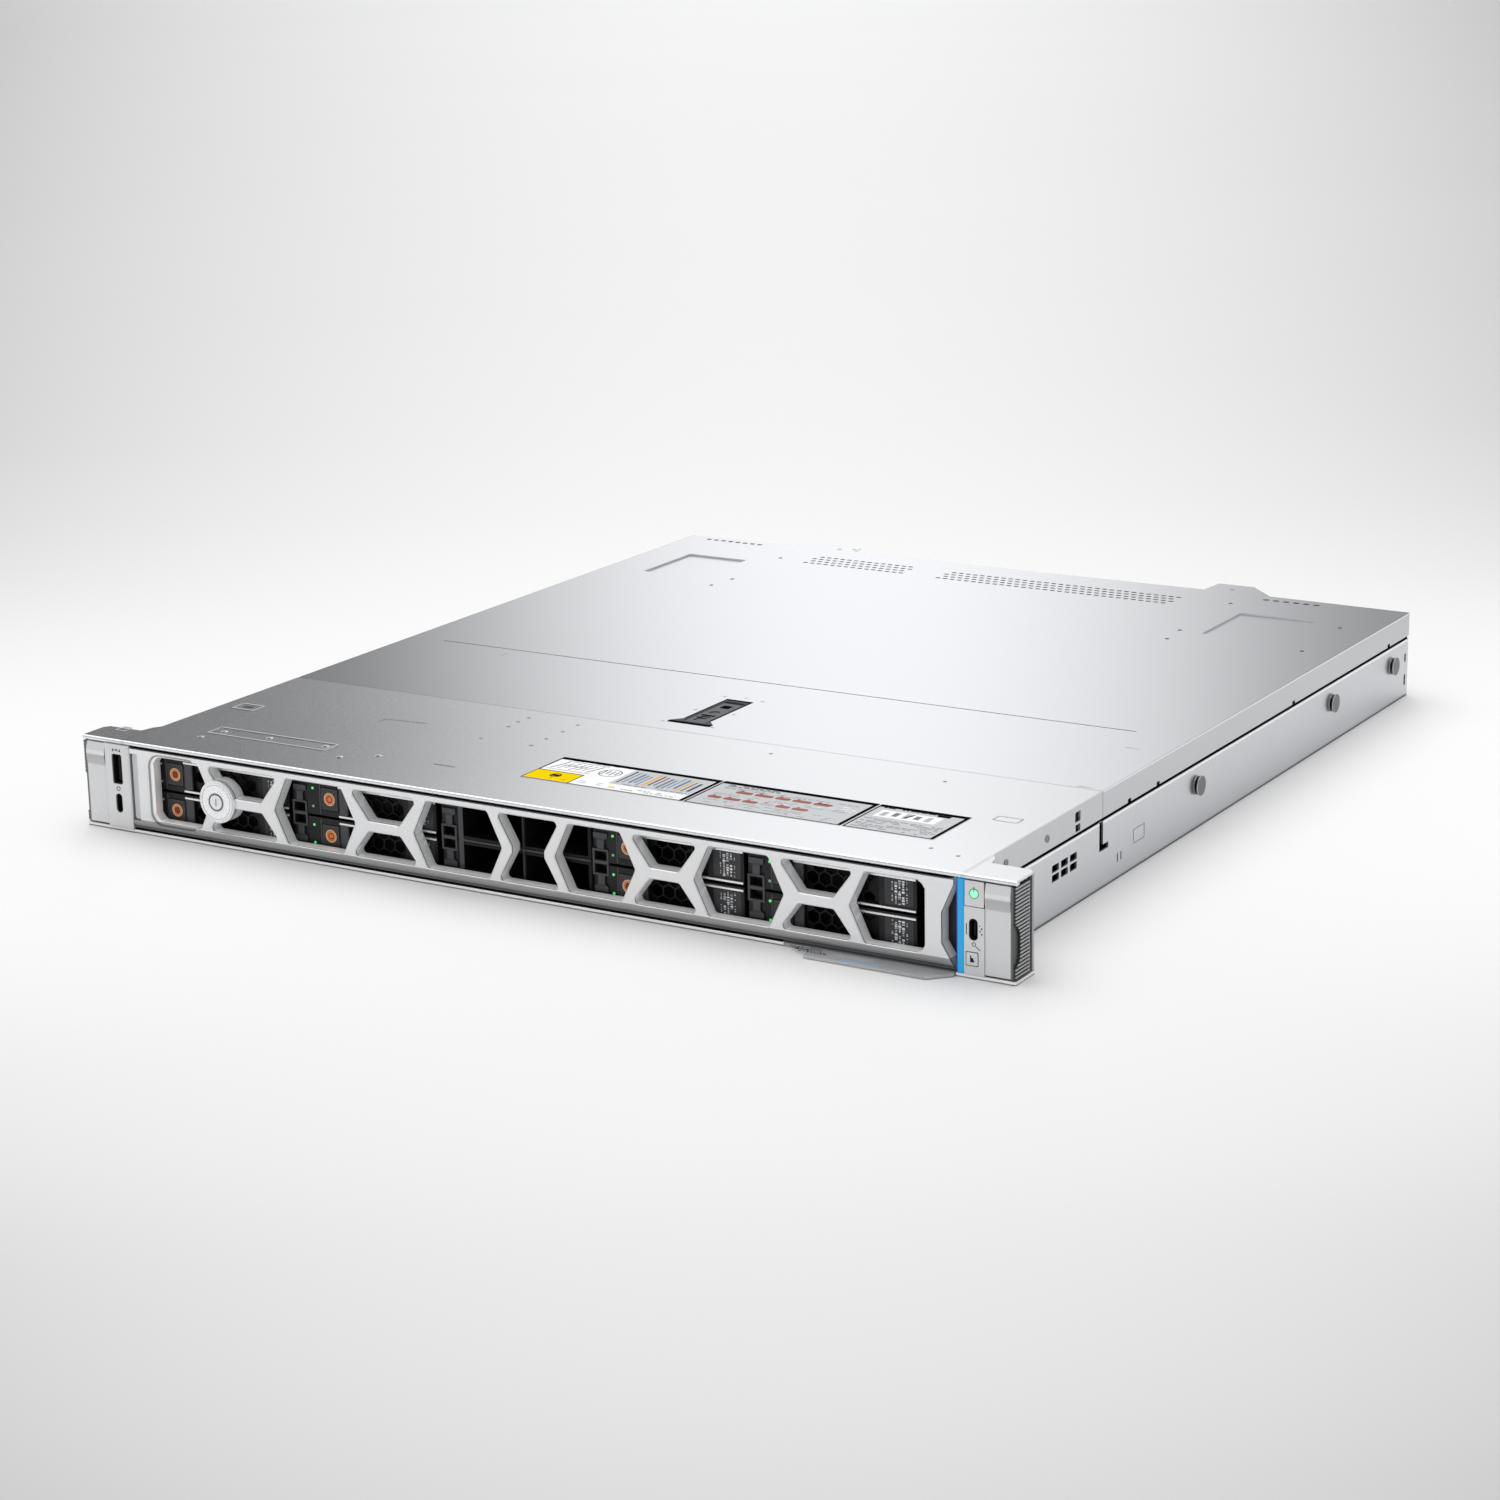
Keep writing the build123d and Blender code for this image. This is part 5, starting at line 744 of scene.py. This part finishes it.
# the room: a soft bright panel behind and to the left, dim on both sides of it
world = bpy.data.worlds.new("studio")
bpy.context.scene.world = world
world.use_nodes = True
wn = world.node_tree
bg = wn.nodes["Background"]
wtc = wn.nodes.new("ShaderNodeTexCoord")
wsx = wn.nodes.new("ShaderNodeSeparateXYZ")
wn.links.new(wtc.outputs["Generated"], wsx.inputs[0])
azim = math_node(wn, "MULTIPLY", math_node(wn, "ARCTAN2", math_node(wn, "MULTIPLY", wsx.outputs[0], -1.0), wsx.outputs[1]), 180 / math.pi)
panel = curve(wn, azim, -180, 180, [(-180, 0.55), (-30, 0.55), (5, 0.38), (16, 0.22), (21.0, 0.32), (23.4, 0.80), (26.6, 1.26), (29.6, 1.36), (32.4, 1.20), (35.2, 0.70), (37.6, 0.20), (42, 0.05), (60, 0.12), (100, 0.55), (180, 0.55)])
elev = math_node(wn, "MULTIPLY", math_node(wn, "ARCSINE", wsx.outputs[2]), 180 / math.pi)
up_fac = wn.nodes.new("ShaderNodeMapRange")
up_fac.interpolation_type = "SMOOTHSTEP"
up_fac.inputs["From Min"].default_value = 32.0
up_fac.inputs["From Max"].default_value = 60.0
wn.links.new(elev, up_fac.inputs["Value"])
glow = math_node(wn, "ADD", math_node(wn, "MULTIPLY", panel, math_node(wn, "SUBTRACT", 1.0, up_fac.outputs[0])), math_node(wn, "MULTIPLY", up_fac.outputs[0], 0.45))
wc = wn.nodes.new("ShaderNodeCombineColor")
wn.links.new(glow, wc.inputs[0])
wn.links.new(glow, wc.inputs[1])
wn.links.new(math_node(wn, "MULTIPLY", glow, 1.01), wc.inputs[2])
wn.links.new(wc.outputs[0], bg.inputs[0])
bg.inputs[1].default_value = 1.0

cam_d = bpy.data.cameras.new("camera")
cam = bpy.data.objects.new("camera", cam_d)
bpy.context.scene.collection.objects.link(cam)
bpy.context.scene.camera = cam
cam_d.sensor_width = 36.0
cam_d.lens = 83.85
cam_d.clip_start = 0.05
cam_d.clip_end = 60.0
az, el, roll = math.radians(31.14), math.radians(15.62), math.radians(-1.09)
back = Vector((math.sin(az) * math.cos(el), -math.cos(az) * math.cos(el), math.sin(el)))
fwd = -back
right = fwd.cross(Vector((0, 0, 1))).normalized()
up = right.cross(fwd).normalized()
rr = right * math.cos(roll) + up * math.sin(roll)
ru = up * math.cos(roll) - right * math.sin(roll)
m = Matrix((rr, ru, back)).transposed().to_4x4()
m.translation = Vector((0.8303, -1.1929, 0.4662))
cam.matrix_world = m

vs_ = bpy.context.scene.view_settings
vs_.view_transform = "Standard"
vs_.look = "None"
vs_.exposure = 0.0
vs_.gamma = 1.0
